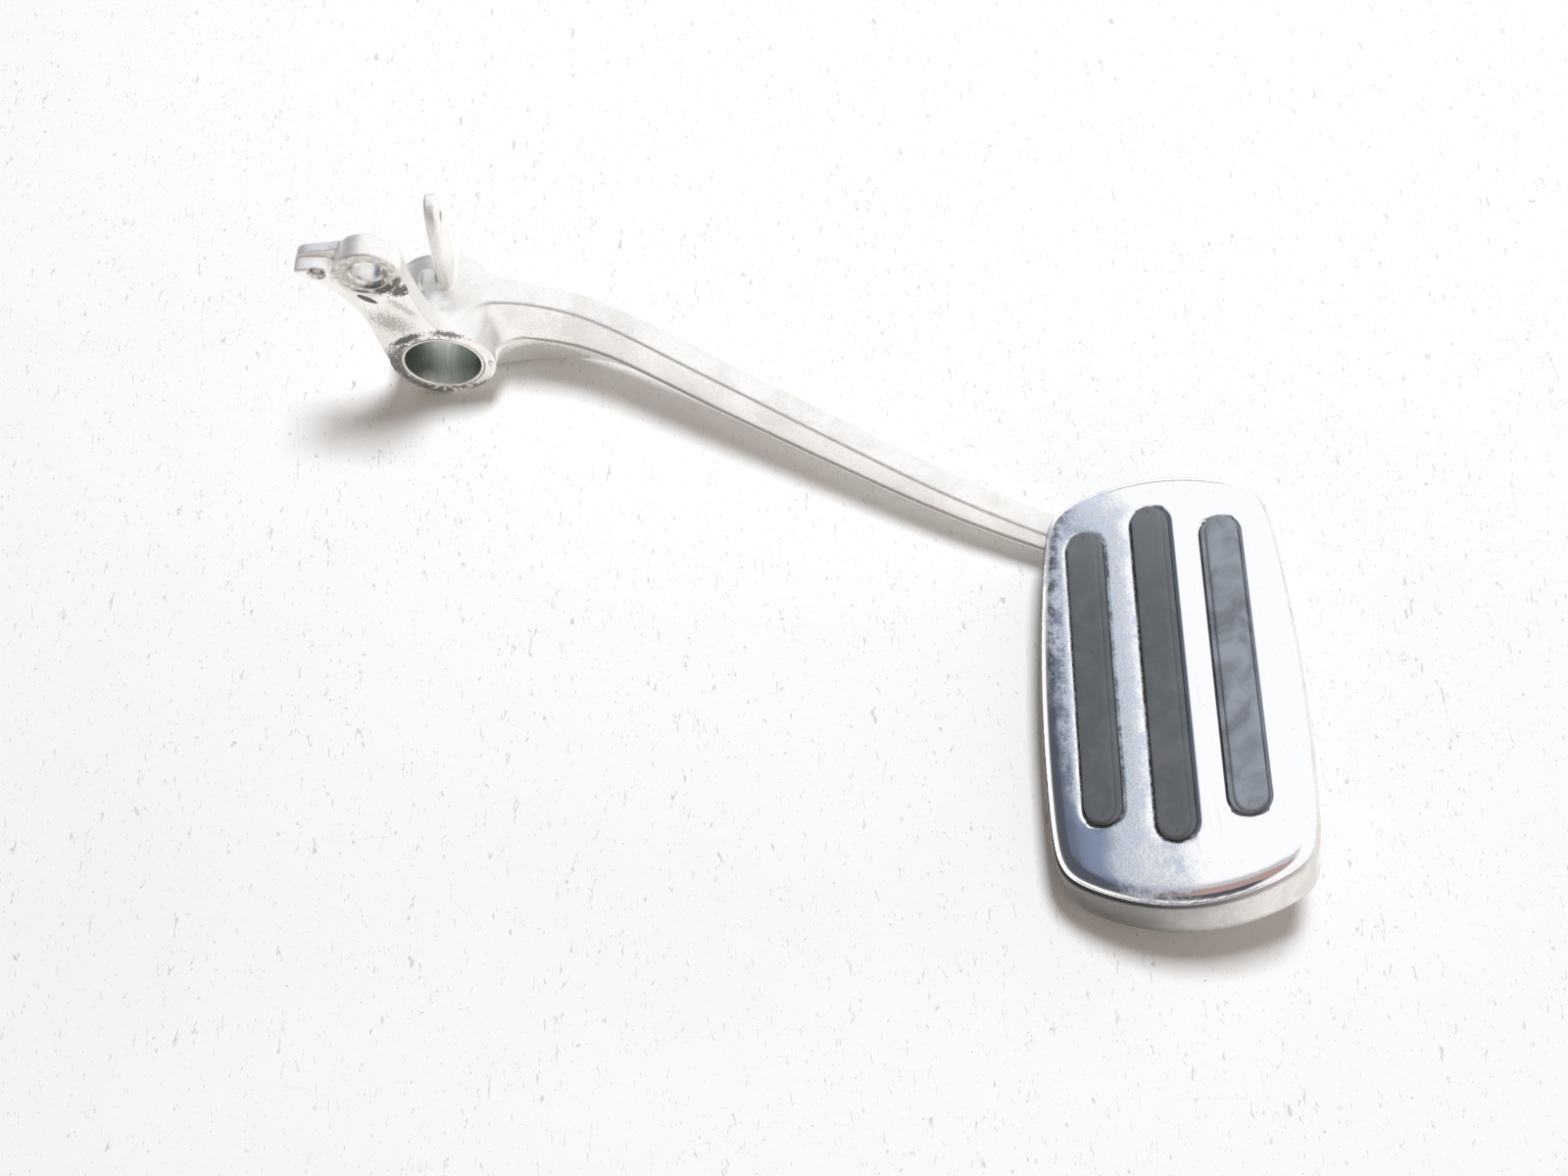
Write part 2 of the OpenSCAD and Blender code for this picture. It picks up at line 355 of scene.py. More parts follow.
class Nodes:
    """Builds the node tree of a material or of the world in plain steps."""

    def __init__(self, name: str, world: bpy.types.World | None = None) -> None:
        """Starts an empty tree.

        Args:
            name: the material's name.
            world: the world, where the tree is a world's.
        """
        self.material = world or bpy.data.materials.new(name)
        self.material.use_nodes = True
        self.tree = self.material.node_tree
        self.tree.nodes.clear()
        self.out = self.node("OutputWorld" if world else "OutputMaterial")
        self.place = self.node("TexCoord").outputs["Generated" if world else "Object"]

    def node(self, kind: str, inputs: dict | None = None, **settings: object) -> bpy.types.Node:
        """Adds one node.

        Args:
            kind: its type, without the word before it that all shader nodes share.
            inputs: values or sockets for its inputs, by name or number.
            **settings: its properties, set before the inputs.

        Returns:
            The node.
        """
        node = self.tree.nodes.new("ShaderNode" + kind)
        for key, value in settings.items():
            setattr(node, key, value)
        for key, value in (inputs or {}).items():
            self.link(value, node.inputs[key])
        return node

    def link(self, source: object, target: Socket) -> None:
        """Links a socket, or sets a plain value, which is three numbers for a colour.

        Args:
            source: the socket or the value.
            target: the input.
        """
        if isinstance(source, Socket):
            self.tree.links.new(source, target)
        else:
            target.default_value = (*source, 1) if target.type == "RGBA" else source

    def bsdf(self, **values: object) -> None:
        """Makes the surface shader, with sockets given by name, underscores for spaces."""
        shader = self.node("BsdfPrincipled", {key.replace("_", " "): v for key, v in values.items()})
        self.link(shader.outputs[0], self.out.inputs[0])

    def math(self, op: str, a: object, b: object = 0.0, clamp: bool = False) -> Socket:
        """One Math node, whose result can be kept within 0 and 1."""
        return self.node("Math", {0: a, 1: b}, operation=op, use_clamp=clamp).outputs[0]

    def add(self, a: object, b: object) -> Socket:
        """Sum."""
        return self.math("ADD", a, b)

    def sub(self, a: object, b: object) -> Socket:
        """Difference."""
        return self.math("SUBTRACT", a, b)

    def mul(self, *factors: object) -> Socket:
        """Product of two values or more.

        Args:
            *factors: the values, multiplied from the left.

        Returns:
            The product.
        """
        total = factors[0]
        for f in factors[1:]:
            total = self.math("MULTIPLY", total, f)
        return total

    def most(self, *masks: Socket) -> Socket:
        """The largest of several masks.

        Args:
            *masks: the masks.

        Returns:
            At each place the largest one.
        """
        total = masks[0]
        for m in masks[1:]:
            total = self.math("MAXIMUM", total, m)
        return total

    def moved(self, scale: Vec, turn: Vec = (0, 0, 0)) -> Socket:
        """Object coordinates, turned by angles in degrees and scaled on each axis."""
        turn = [math.radians(t) for t in turn]
        return self.node("Mapping", {0: self.place, "Rotation": turn, "Scale": scale}).outputs[0]

    def noise(
        self, size: float, detail: float = 3.0, rough: float = 0.55, warp: float = 0.0,
        coords: Socket | None = None,
    ) -> Socket:
        """Noise of about 0.5 with features of a size in millimetres, on coordinates in place of Object's."""
        inputs = {"Scale": 1 / (size * MM), "Detail": detail, "Roughness": rough, "Distortion": warp}
        return self.node("TexNoise", {"Vector": coords or self.place, **inputs}).outputs["Fac"]

    def band(
        self, value: object, low: float, high: float, to_low: float = 0.0, to_high: float = 1.0
    ) -> Socket:
        """Smooth step of a value between two limits, from one result to another."""
        inputs = {"Value": value, "From Min": low, "From Max": high, "To Min": to_low, "To Max": to_high}
        return self.node("MapRange", inputs, interpolation_type="SMOOTHSTEP").outputs["Result"]

    def mix(self, factor: object, a: object, b: object) -> Socket:
        """Mixes two colours: the first where the factor is 0 and the second where it is 1."""
        return self.node("Mix", {0: factor, 6: a, 7: b}, data_type="RGBA").outputs[2]

    def layers(self, colour: object, *layers: tuple[Socket, float, Vec]) -> Socket:
        """Lays colours over a first one.

        Args:
            colour: the first colour.
            *layers: mask, strength and colour of each, from below.

        Returns:
            The colour.
        """
        for mask, strength, top in layers:
            colour = self.mix(mask if strength == 1 else self.mul(mask, strength), colour, top)
        return colour

    def bump(self, height: object, depth: float, strength: float = 1.0) -> Socket:
        """The normal of a bump whose height of 0 to 1 stands for a depth in millimetres."""
        return self.node("Bump", {"Strength": strength, "Distance": depth * MM, "Height": height}).outputs[0]

    def axis(self, which: int) -> Socket:
        """One Object coordinate, in metres."""
        return self.node("SeparateXYZ", {0: self.place}).outputs[which]

    def spot(self, at: Vec, radius: Vec, ragged: float, size: float, turn: Vec = (0, 0, 0)) -> Socket:
        """A ragged patch: 1 inside an ellipsoid whose edge is broken by noise, 0 outside.

        Args:
            at: its centre in millimetres.
            radius: its half sizes in millimetres.
            ragged: how far noise moves the edge, as a share of the radius.
            size: the noise's feature size in millimetres.
            turn: turn of the ellipsoid in degrees.

        Returns:
            The mask.
        """
        shift = self.node("VectorMath", {0: self.place, 1: [a * MM for a in at]}, operation="SUBTRACT")
        ball = {"Rotation": [math.radians(t) for t in turn], "Scale": [r * MM for r in radius]}
        local = self.node("Mapping", {0: shift.outputs[0], **ball}, vector_type="TEXTURE")
        length = self.node("VectorMath", {0: local.outputs[0]}, operation="LENGTH").outputs["Value"]
        rough = self.sub(self.noise(size, 6, 0.72, 0.3), 0.5)
        return self.band(self.add(length, self.mul(rough, 5 * ragged)), 1.05, 0.8)


@dataclass(frozen=True)
class DarkPatch:
    """One ragged dark patch on the casting, used both for grease stains and for painted shade: an ellipsoid
    in millimetres, turned about the bore's direction.
    """

    at: Vec
    half: Vec
    turn: float
    ragged: float
    depth: float
    grain: float = 0.7

    def mask(self, n: Nodes) -> Socket:
        """The patch's depth inside, 0 outside."""
        return n.mul(n.spot(self.at, self.half, self.ragged, self.grain, (0, self.turn, 0)), self.depth)


@dataclass(frozen=True)
class CastAlloy:
    """Satin cast aluminium: pale, finely pitted, dulled in patches, greasy round the pivot, with painted
    shade on the arm's lower flank and front web and, where set, painted shade toward the arm side.
    """

    slot: str = "cast_alloy"
    tone: Vec = (0.965, 0.955, 0.94)
    dull: Vec = (0.85, 0.825, 0.79)
    fleck: Vec = (0.56, 0.55, 0.54)
    pit: Vec = (0.50, 0.475, 0.44)
    # Near-black tone of the grease stains, also laid on the painted shade patches of the arm.
    grease_and_shade: Vec = (0.055, 0.056, 0.05)
    worn: Vec = (0.38, 0.35, 0.31)
    # Tone of the painted shade toward the arm side.
    dark: Vec = (0.14, 0.137, 0.134)
    roughness: float = 0.36
    metallic: float = 0.66
    painted_shade: float = 0.0
    greasy_and_shaded: bool = True
    dark_patches: tuple[DarkPatch, ...] = (
        DarkPatch((-13.3, 0, 28.9), (3.0, 0.7, 1.0), 41, 0.06, 0.92),
        DarkPatch((-13.6, 0, 32.1), (2.2, 0.7, 0.6), 12, 0.5, 0.75),
        DarkPatch((-8.0, 0, 32.9), (3.2, 0.7, 1.5), -24, 0.75, 0.92),
        DarkPatch((-4.6, 0, 35.3), (2.4, 0.8, 1.0), -62, 0.6, 0.75),
        DarkPatch((-4.5, 0.2, 31.8), (3.0, 1.0, 1.9), -30, 0.8, 0.9),
        DarkPatch((-9.9, 0, 18.7), (5.0, 0.7, 3.2), 42, 1.1, 0.42),
        DarkPatch((-5.5, 0, 25.0), (4.5, 0.7, 1.2), 55, 0.8, 0.3),
        DarkPatch((-7.6, 0.2, 11.2), (5.0, 1.2, 1.3), -30, 0.6, 0.92),
        DarkPatch((3.8, 0, 12.8), (4.6, 0.8, 1.0), 16, 0.9, 0.75),
        DarkPatch((-13.6, 1.6, 0.0), (1.6, 2.4, 9.5), 8, 0.5, 0.85),
        DarkPatch((-6.0, 0.6, -12.4), (8.0, 1.5, 1.5), 24, 0.6, 0.9),
        DarkPatch((8.6, 0, -10.6), (5.0, 0.7, 1.4), -36, 0.7, 0.75),
        # The last five patches are painted shade, not grease: one darkens the arm's lower flank beside the
        # barrel, four darken the arm's front web along its length.
        DarkPatch((25, 9, -9.8), (17, 6, 6.4), 0, 0.3, 0.33),
        DarkPatch((38, 2, 4.5), (21, 8, 8.0), 0, 0.8, 0.11),
        DarkPatch((64, -11, 2.5), (18, 8, 6.0), 12, 0.9, 0.09),
        DarkPatch((90, -25, 0.5), (18, 8, 5.5), 12, 0.9, 0.09),
        DarkPatch((118, -39, -2.5), (20, 8, 4.5), 10, 0.9, 0.09),
    )

    def build(self) -> Material:
        """Makes the material.

        Returns:
            The finished material.
        """
        n = Nodes("cast_alloy_greasy_shaded" if self.greasy_and_shaded else "cast_alloy_clean")
        patches = n.band(n.noise(11, 4, 0.62, 0.5), 0.42, 0.66)
        grain = n.noise(0.42, 5, 0.65)
        pits = n.band(n.noise(0.8, 3, 0.5), 0.66, 0.74)
        flecks = n.band(n.noise(0.65, 4, 0.7), 0.53, 0.70)
        colour = n.layers(
            self.tone, (patches, 0.55, self.dull), (flecks, 0.33, self.fleck), (pits, 0.3, self.pit)
        )
        # Painted shade: where set, the colour darkens toward smaller X, the arm side, into the dark tone.
        if self.painted_shade:
            wavy = n.add(n.axis(0), n.mul(n.noise(7, 4, 0.6), 10 * MM))
            colour = n.mix(n.band(wavy, 206 * MM, 166 * MM, 0.0, self.painted_shade), colour, self.dark)
        rough = n.add(n.mul(patches, 0.08), self.roughness - 0.04)
        metallic = self.metallic
        if self.greasy_and_shaded:
            scratch = n.band(n.noise(1.2, 3, 0.5, 0.3, n.moved((1, 1, 0.12), (0, 35, 0))), 0.63, 0.69)
            face = n.spot((-9, 0, 22), (16, 0.9, 26), 0.1, 5)
            round_hole = n.spot((-11.1, 0, 38.2), (8.6, 0.9, 8.6), 0.15, 3)
            patchy = n.band(n.noise(1.4, 5, 0.7, 0.4), 0.38, 0.62, 0.38, 0.9)
            # The mask holds the grease stains, the ring dirt and the painted shade patches, all in the
            # near-black tone.
            mask = n.most(n.most(*(s.mask(n) for s in self.dark_patches)), self.ring_dirt(n))
            colour = n.layers(
                colour, (n.mul(round_hole, patchy), 1, self.worn), (n.mul(scratch, face), 0.5, self.worn),
                (mask, 1, self.grease_and_shade),
            )
            rough = n.add(rough, n.mul(mask, 0.1))
            metallic = n.mul(n.sub(1.0, n.mul(mask, 0.7)), self.metallic)
        height = n.sub(n.mul(grain, 0.7), n.mul(pits, 0.4))
        n.bsdf(Base_Color=colour, Metallic=metallic, Roughness=rough, Normal=n.bump(height, 0.05, 0.9))
        return n.material

    @staticmethod
    def ring_dirt(n: Nodes) -> Socket:
        """Broken grease on the barrel's outboard face, heavier on the crank's side.

        Args:
            n: the material's nodes.

        Returns:
            Mask, up to 0.88 where it is black.
        """
        outer = n.spot((0, 0, 0), (14.9, 1.4, 14.9), 0.03, 3)
        inner = n.spot((0, 0, 0), (11.6, 3, 11.6), 0.05, 2)
        ring = n.math("SUBTRACT", outer, inner, True)
        lean = n.add(n.mul(n.axis(0), -9.0), n.mul(n.axis(2), -3.0))
        flecks = n.band(n.add(n.noise(1.5, 6, 0.72, 0.3), lean), 0.46, 0.57)
        return n.mul(ring, flecks, 0.88)


@dataclass(frozen=True)
class MachinedAlloy:
    """Bright cut metal in a bore, with turning lines and dark marks where a pin rubbed."""

    slot: str = "cast_alloy"
    tone: Vec = (0.86, 0.85, 0.83)
    rubbed: Vec = (0.07, 0.065, 0.06)
    rim_tone: Vec = (0.40, 0.37, 0.33)

    def build(self) -> Material:
        """Makes the material.

        Returns:
            The finished material.
        """
        n = Nodes("machined_alloy")
        lines = n.noise(0.25, 2, 0.5, 0.0, n.moved((0.1, 6, 0.1)))
        dark = n.band(n.noise(1.8, 4, 0.7, 0.5), 0.60, 0.68)
        rim = n.band(n.axis(1), 0.9 * MM, 0.3 * MM, 0.0, 0.85)
        colour = n.layers(self.tone, (dark, 1, self.rubbed), (rim, 1, self.rim_tone))
        rough = n.band(n.noise(1.2), 0.3, 0.7, 0.22, 0.4)
        metallic = n.sub(1.0, n.mul(dark, 0.7))
        n.bsdf(Base_Color=colour, Metallic=metallic, Roughness=rough, Normal=n.bump(lines, 0.01, 0.5))
        return n.material


@dataclass(frozen=True)
class BushMetal:
    """Dull bearing steel with a film of old grease, painted shade darkening the bore's left and right flanks,
    and bright at the mouth.
    """

    slot: str = "bush_metal"
    tone: Vec = (0.84, 0.86, 0.80)
    film: Vec = (0.55, 0.60, 0.56)
    # Tone of the painted shade on the bore's flanks.
    flank_shade_tone: Vec = (0.11, 0.15, 0.142)
    mouth_tone: Vec = (0.86, 0.85, 0.80)

    def build(self) -> Material:
        """Makes the material.

        Returns:
            The finished material.
        """
        n = Nodes("bush_metal")
        film = n.band(n.noise(6, 4, 0.6, 0.5, n.moved((1, 0.3, 1))), 0.35, 0.7)
        # Painted shade: the bore's side walls, 4.5 to 9.5 mm either side of its axis, are darkened.
        flank = n.band(n.math("ABSOLUTE", n.axis(0)), 4.5 * MM, 9.5 * MM, 0.0, 0.82)
        mouth = n.band(n.axis(1), 0.5 * MM, 0.15 * MM)
        colour = n.layers(
            self.tone, (film, 1, self.film), (flank, 1, self.flank_shade_tone), (mouth, 1, self.mouth_tone)
        )
        rough = n.band(n.noise(2.5), 0.3, 0.7, 0.34, 0.5)
        n.bsdf(Base_Color=colour, Metallic=0.9, Roughness=rough, Normal=n.bump(n.noise(0.5), 0.006, 0.4))
        return n.material


@dataclass(frozen=True)
class BrightPlate:
    """Bright plating, hazy and mottled toward the arm side and the near end, where its blue-grey colour is
    partly a painted reflection.
    """

    slot: str = "bright_cover"
    tone: Vec = (0.97, 0.975, 0.985)
    # Blue-grey tone of the haze, partly a painted reflection of the room.
    film: Vec = (0.62, 0.695, 0.82)
    speck: Vec = (0.12, 0.10, 0.09)

    def haze_and_reflection_zone(self, n: Nodes) -> Socket:
        """Where the plating is hazy and carries a painted blue-grey reflection: along the arm side's inner
        part, and less so at the near end, where it is painted shade of the sheet curving down.

        Args:
            n: the material's nodes.

        Returns:
            Mask, 1 where it is haziest.
        """
        across = n.add(n.axis(0), n.mul(n.add(n.axis(1), 99 * MM), 0.047))
        along = n.axis(1)
        arm_side = n.sub(across, n.band(along, -126 * MM, -143 * MM, 0.0, 8 * MM))
        inner = n.mul(n.band(arm_side, 149 * MM, 154.5 * MM), n.band(across, 179 * MM, 172 * MM))
        sides = n.mul(n.band(across, 174 * MM, 162 * MM), n.band(arm_side, 147 * MM, 153 * MM))
        end = n.mul(n.band(along, -136 * MM, -146 * MM), sides)
        return n.most(inner, n.mul(end, 0.6))

    def build(self) -> Material:
        """Makes the material.

        Returns:
            The finished material.
        """
        n = Nodes("bright_plate")
        haze_and_reflection_zone = self.haze_and_reflection_zone(n)
        clouds = n.mul(n.sub(n.noise(5.0, 4, 0.6, 0.5), 0.5), 0.95)
        grit = n.noise(0.9, 6, 0.75, 0.4)
        level = n.add(n.add(grit, clouds), n.mul(haze_and_reflection_zone, 0.10))
        haze_and_reflection = n.mul(n.band(level, 0.44, 0.84), haze_and_reflection_zone)
        specks = n.band(n.noise(0.6, 2, 0.5), 0.735, 0.76)
        scratch = n.band(n.noise(0.9, 2, 0.4, 0.2, n.moved((1, 0.05, 1), (0, 0, 35))), 0.66, 0.72)
        # The mottling is the plating's own haze; its blue film tone is a painted reflection, and at the near
        # end painted shade.
        colour = n.layers(self.tone, (haze_and_reflection, 1, self.film), (specks, 0.6, self.speck))
        rough = n.add(n.add(0.07, n.mul(haze_and_reflection, 0.25)), n.mul(scratch, 0.10))
        relief = n.mul(grit, n.add(n.mul(haze_and_reflection_zone, 0.9), 0.06))
        metallic = n.sub(1.0, n.mul(haze_and_reflection, 0.7))
        n.bsdf(Base_Color=colour, Metallic=metallic, Roughness=rough, Normal=n.bump(relief, 0.06, 0.6))
        return n.material


@dataclass(frozen=True)
class TreadRubber:
    """Matt dark grey rubber with faint smears, greying toward its far end and, by wear and a painted sheen,
    toward its free side.
    """

    slot: str = "tread_rubber"
    tone: Vec = (0.098, 0.106, 0.118)
    smear: Vec = (0.128, 0.136, 0.146)
    dust: Vec = (0.26, 0.25, 0.23)
    # Pale blue-grey of the free-side strip: partly wear, partly a painted sheen.
    worn: Vec = (0.31, 0.345, 0.405)
    far_tone: Vec = (0.24, 0.25, 0.275)

    def build(self) -> Material:
        """Makes the material.

        Returns:
            The finished material.
        """
        n = Nodes("tread_rubber")
        smear = n.band(n.noise(9, 4, 0.6, 0.8), 0.4, 0.7)
        cloud = n.band(n.noise(4.5, 3, 0.55, 1.2), 0.45, 0.62)
        dust = n.band(n.noise(0.8, 4, 0.65), 0.6, 0.72)
        # The free-side strip's paler patch is partly wear and partly a painted sheen.
        worn = n.mul(
            n.band(n.axis(0), 183 * MM, 188 * MM), n.band(n.noise(10, 3, 0.5, 1.0), 0.30, 0.62, 0.35, 1.0)
        )
        far = n.band(n.axis(1), -90 * MM, -55 * MM, 0.0, 0.32)
        colour = n.layers(
            self.tone, (smear, 1, self.smear), (dust, 0.18, self.dust), (worn, 0.9, self.worn),
            (far, 1, self.far_tone),
        )
        rough = n.add(n.band(smear, 0, 1, 0.38, 0.48), n.mul(cloud, 0.06))
        n.bsdf(Base_Color=colour, Roughness=rough, Normal=n.bump(n.noise(0.35, 4, 0.6), 0.02, 0.5))
        return n.material


@dataclass(frozen=True)
class PlatedSteel:
    """Plain dull plated steel of the nuts."""

    slot: str = "plated_steel"
    tone: Vec = (0.62, 0.61, 0.57)
    stained: Vec = (0.46, 0.43, 0.38)

    def build(self) -> Material:
        """Makes the material.

        Returns:
            The finished material.
        """
        n = Nodes("plated_steel")
        stain = n.band(n.noise(2.5, 4, 0.6), 0.4, 0.7)
        colour = n.mix(stain, self.tone, self.stained)
        rough = n.band(stain, 0, 1, 0.3, 0.5)
        n.bsdf(Base_Color=colour, Metallic=1.0, Roughness=rough, Normal=n.bump(n.noise(0.4), 0.02, 0.5))
        return n.material


class Body(Enum):
    """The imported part's bodies."""

    ROOT = "root"


def dress(obj: Obj, material: Material, slot: str, *nodes: str) -> None:
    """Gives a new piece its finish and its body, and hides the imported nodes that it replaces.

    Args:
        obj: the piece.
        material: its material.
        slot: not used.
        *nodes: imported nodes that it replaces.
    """
    obj.data.materials.clear()
    obj.data.materials.append(material)
    if nodes:
        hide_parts(*nodes)
    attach(obj, Body.ROOT.value)
    LOG.info("%s: %d faces", obj.name, len(obj.data.polygons))


@dataclass
class PadFrame:
    """The tread pad's place, tilt and outline."""

    at: Vec = (177.1, -99.0, 12.0)
    turn: float = -2.7
    fall: float = 0.6
    tilt: float = 17.6
    width: float = 60.7
    length: float = 108.8
    side_bulge: float = 3.5
    end_bulge: float = 9.7
    taper: float = 1.5
    power: float = 16.0
    shift: float = -2.2
    stud: Pair = (7.3, 28.0)

    def to_part(self, local: Array) -> Array:
        """Takes points from the pad's own axes to the part's frame.

        Args:
            local: (..., 3) points: across, along, and out of the face.

        Returns:
            The points in the part's frame.
        """
        turn, fall, tilt = (
            Matrix.Rotation(math.radians(angle), 3, axis)
            for angle, axis in ((self.turn, "Z"), (self.fall, "X"), (-self.tilt, "Y"))
        )
        return local @ np.array(turn @ fall @ tilt).T + np.array(self.at)

    def outline(self, inset: float, count: int = 240) -> Array:
        """The pad's outline, set in by a distance.

        A point lies on it where (|a|/w)^p + (|b|/l)^p = 1. w is the half width, smaller toward the
        ends by the side bulge and toward the far end by the taper, and l the half length, smaller
        toward the sides by the end bulge. It is found by a few rounds of scaling from an ellipse.

        Args:
            inset: distance in from the casting's rim.
            count: number of points.

        Returns:
            (count, 2) points, anticlockwise from the free side.
        """
        a, b = self.width / 2 - inset, self.length / 2 - inset
        t = np.linspace(0, 2 * np.pi, 4 * count, endpoint=False)
        c, s = np.cos(t), np.sin(t)
        p = 0.8 * np.stack([a * np.sign(c) * np.abs(c) ** 0.5, b * np.sign(s) * np.abs(s) ** 0.5], 1)
        for _ in range(14):
            v = p[:, 1] / b
            wide = a * (1 - 2 * (self.side_bulge * v ** 2 + self.taper * v) / self.width)
            long = b * (1 - 2 * self.end_bulge / self.length * (p[:, 0] / a) ** 2)
            f = (np.abs(p[:, 0]) / wide) ** self.power + (np.abs(p[:, 1]) / long) ** self.power
            p = p / f[:, None] ** (1 / self.power)
        return resample(np.vstack([p, p[:1]]), count + 1)[:-1] + [0, self.shift]

    def rings(self, table: list[Pair], count: int = 240) -> Array:
        """Outlines at insets and heights.

        Args:
            table: each ring's inset and height.
            count: points in a ring.

        Returns:
            (rings, count, 3) grid in the pad's axes.
        """
        grid = np.zeros((len(table), count, 3))
        for ring, (inset, height) in zip(grid, table):
            ring[:, :2], ring[:, 2] = self.outline(inset, count), height
        return grid

    def posts(self, kind: str, profile: list[Pair], steps: int, hollow: bool) -> list[Obj]:
        """Two equal posts round the studs' middle lines.

        Args:
            kind: the second word of their names.
            profile: radii and heights.
            steps: points round the circle.
            hollow: join the profile's end to its start.

        Returns:
            The far and the near post.
        """
        found = []
        for name, side in (("far", 1), ("near", -1)):
            local = turned(profile, (self.stud[0], side * self.stud[1], 0), steps, along=2)
            found.append(grid_object(f"{name}_{kind}", self.to_part(local), hollow, True))
        return found


@dataclass
class Lever:
    """The casting's pivot barrel, crank, lugs and arm."""

    barrel_r: float = 14.0
    barrel_l: float = 26.0
    bush_r: float = 10.8
    clevis: Pair = (-11.1, 38.2)
    clevis_r: float = 4.0
    boss_r: float = 8.2
    crank_t: float = 6.8
    tab_hole: Pair = (-23.2, 39.6)
    tab_hole_r: float = 1.5
    ledge_depth: float = 4.0
    ledge_z: float = 41.4
    tab_top: float = 43.6
    fin_x: float = 0.9
    fin_t: float = 3.3
    fin_hole: Pair = (23.0, 32.0)
    fin_hole_r: float = 1.5
    web: float = 3.6
    bead_out: float = 3.95
    edge: float = 0.9
    voxel: float = 0.45
    path: Pairs = (
        (2, 12.6), (8, 12.6), (16, 12.5), (22, 12.1), (28, 11.3), (34, 10.05), (40, 8.1), (46, 5.4),
        (52, 2.3), (60, -2.3), (70, -8), (80, -13.6), (90, -19.2), (100, -24.9), (110, -30.4), (120, -36),
        (130, -41.3), (140, -46.2), (150, -50.6), (162, -55.6),
    )
    top: Pairs = ((0, 14), (22, 14), (28, 13.3), (60, 9.6), (100, 5), (140, 0.4), (153, -1.1), (163, -2))
    under: Pairs = (
        (0, -14), (22, -14), (28, -13.4), (34, -11.8), (40, -9.8), (46, -8.3), (52, -7.4), (60, -6.9),
        (70, -7.3), (90, -7.8), (115, -8), (140, -8.3), (153, -9), (163, -9.4),
    )
    bead: Pairs = (
        (0, -0.6), (14, -0.6), (30, -1.1), (45, -1.5), (60, -2.6), (75, -4), (90, -5), (115, -6.1), (140, -7),
        (163, -7.8),
    )
    ridge: Pairs = (
        (-1.2, 0.95), (-0.1, 0.68), (0.3, 0.5), (0.62, 0.22), (0.7, 0.02), (0.62, -0.16), (0.25, -0.36),
        (-0.4, -0.46), (-1.2, -0.5),
    )

    def crank_outline(self) -> Array:
        """Outline of the crank with its clevis boss and the tab's front ledge.

        Returns:
            (n, 2) points, X and Z.
        """
        cx, cz = self.clevis
        a = np.radians(np.linspace(-10, 172, 40))
        boss = np.stack([cx + self.boss_r * np.cos(a), cz + self.boss_r * np.sin(a)], 1)
        right = [(5, 0), (5, 12.2), (1.6, 14.6), (0, 18), (-1.2, 22), (-1.9, 26), (-2.7, 31)]
        left = [
            (-20.5, self.ledge_z), (-27.9, self.ledge_z), (-28.8, 40.4), (-28.4, 38.9), (-26.3, 37.3),
            (-24.4, 36.2), (-22.6, 34.6), (-20.9, 32.2), (-19.2, 29.4), (-17.6, 26), (-16.3, 22),
            (-15.6, 19.2), (-15.3, 15), (-15, 11), (-14.6, 6.6), (-14, 1), (-8, 0),
        ]
        return smooth_closed(np.vstack([right, boss, left]), 360, 2)

    def arm_section(self, hw: float, top: Array, bead: Array, under: Array) -> Array:
        """Sections of the arm, one for each station.

        The top is flat with rounded edges. The sides widen by a little down to a bead at the
        parting line, and the lower half is narrower and rounded under. Side and height are
        given at 18 places from the middle of the top to the middle of the underside.

        Args:
            hw: half width of the web.
            top: (n,) heights of the top.
            bead: (n,) heights of the parting bead.
            under: (n,) heights of the underside.

        Returns:
            (n, m, 2) side and height.
        """
        e, low = self.edge, bead - 1.2
        rows = [
            (0, top), (0.5 * (hw - e), top), (hw - e, top - 0.02), (hw - 0.62 * e, top - 0.12 * e),
            (hw - 0.3 * e, top - 0.35 * e), (hw - 0.1 * e, top - 0.7 * e), (hw - 0.02, top - 1.15 * e),
            (hw + 0.25, 0.5 * (top + bead)), (hw + 0.35, bead + 0.9), (hw + 0.4, bead + 0.5),
            (hw + 0.35, bead + 0.1), (hw + 0.1, bead - 0.25), (hw - 0.25, bead - 0.7),
            (hw - 1.0, 0.55 * low + 0.45 * under), (hw - 1.6, 0.2 * low + 0.8 * under),
            (hw - 2.2, under + 0.25), (0.3 * hw, under), (0, under),
        ]
        half = np.stack([np.stack([np.full(len(top), side), height], -1) for side, height in rows], 1)
        return np.concatenate([half, half[:, ::-1][:, 1:-1] * [-1, 1]], 1)

    def arm_body(self) -> Obj:
        """The arm: its section carried along the middle line in plan.

        Returns:
            The closed arm.
        """
        line = smooth_open(self.path, 260, 40)
        tables = (np.array(table).T for table in (self.top, self.bead, self.under))
        top, bead, under = (averaged(np.interp(line[:, 0], *table), 30) for table in tables)
        section = self.arm_section(self.web, top, bead, under)
        grid = np.zeros((*section.shape[:2], 3))
        grid[..., :2] = line[:, None] - section[..., :1] * left_of(line)[:, None]
        grid[..., 2] = section[..., 1]
        return grid_object("arm_body", grid, wrap_cols=True, caps=True)

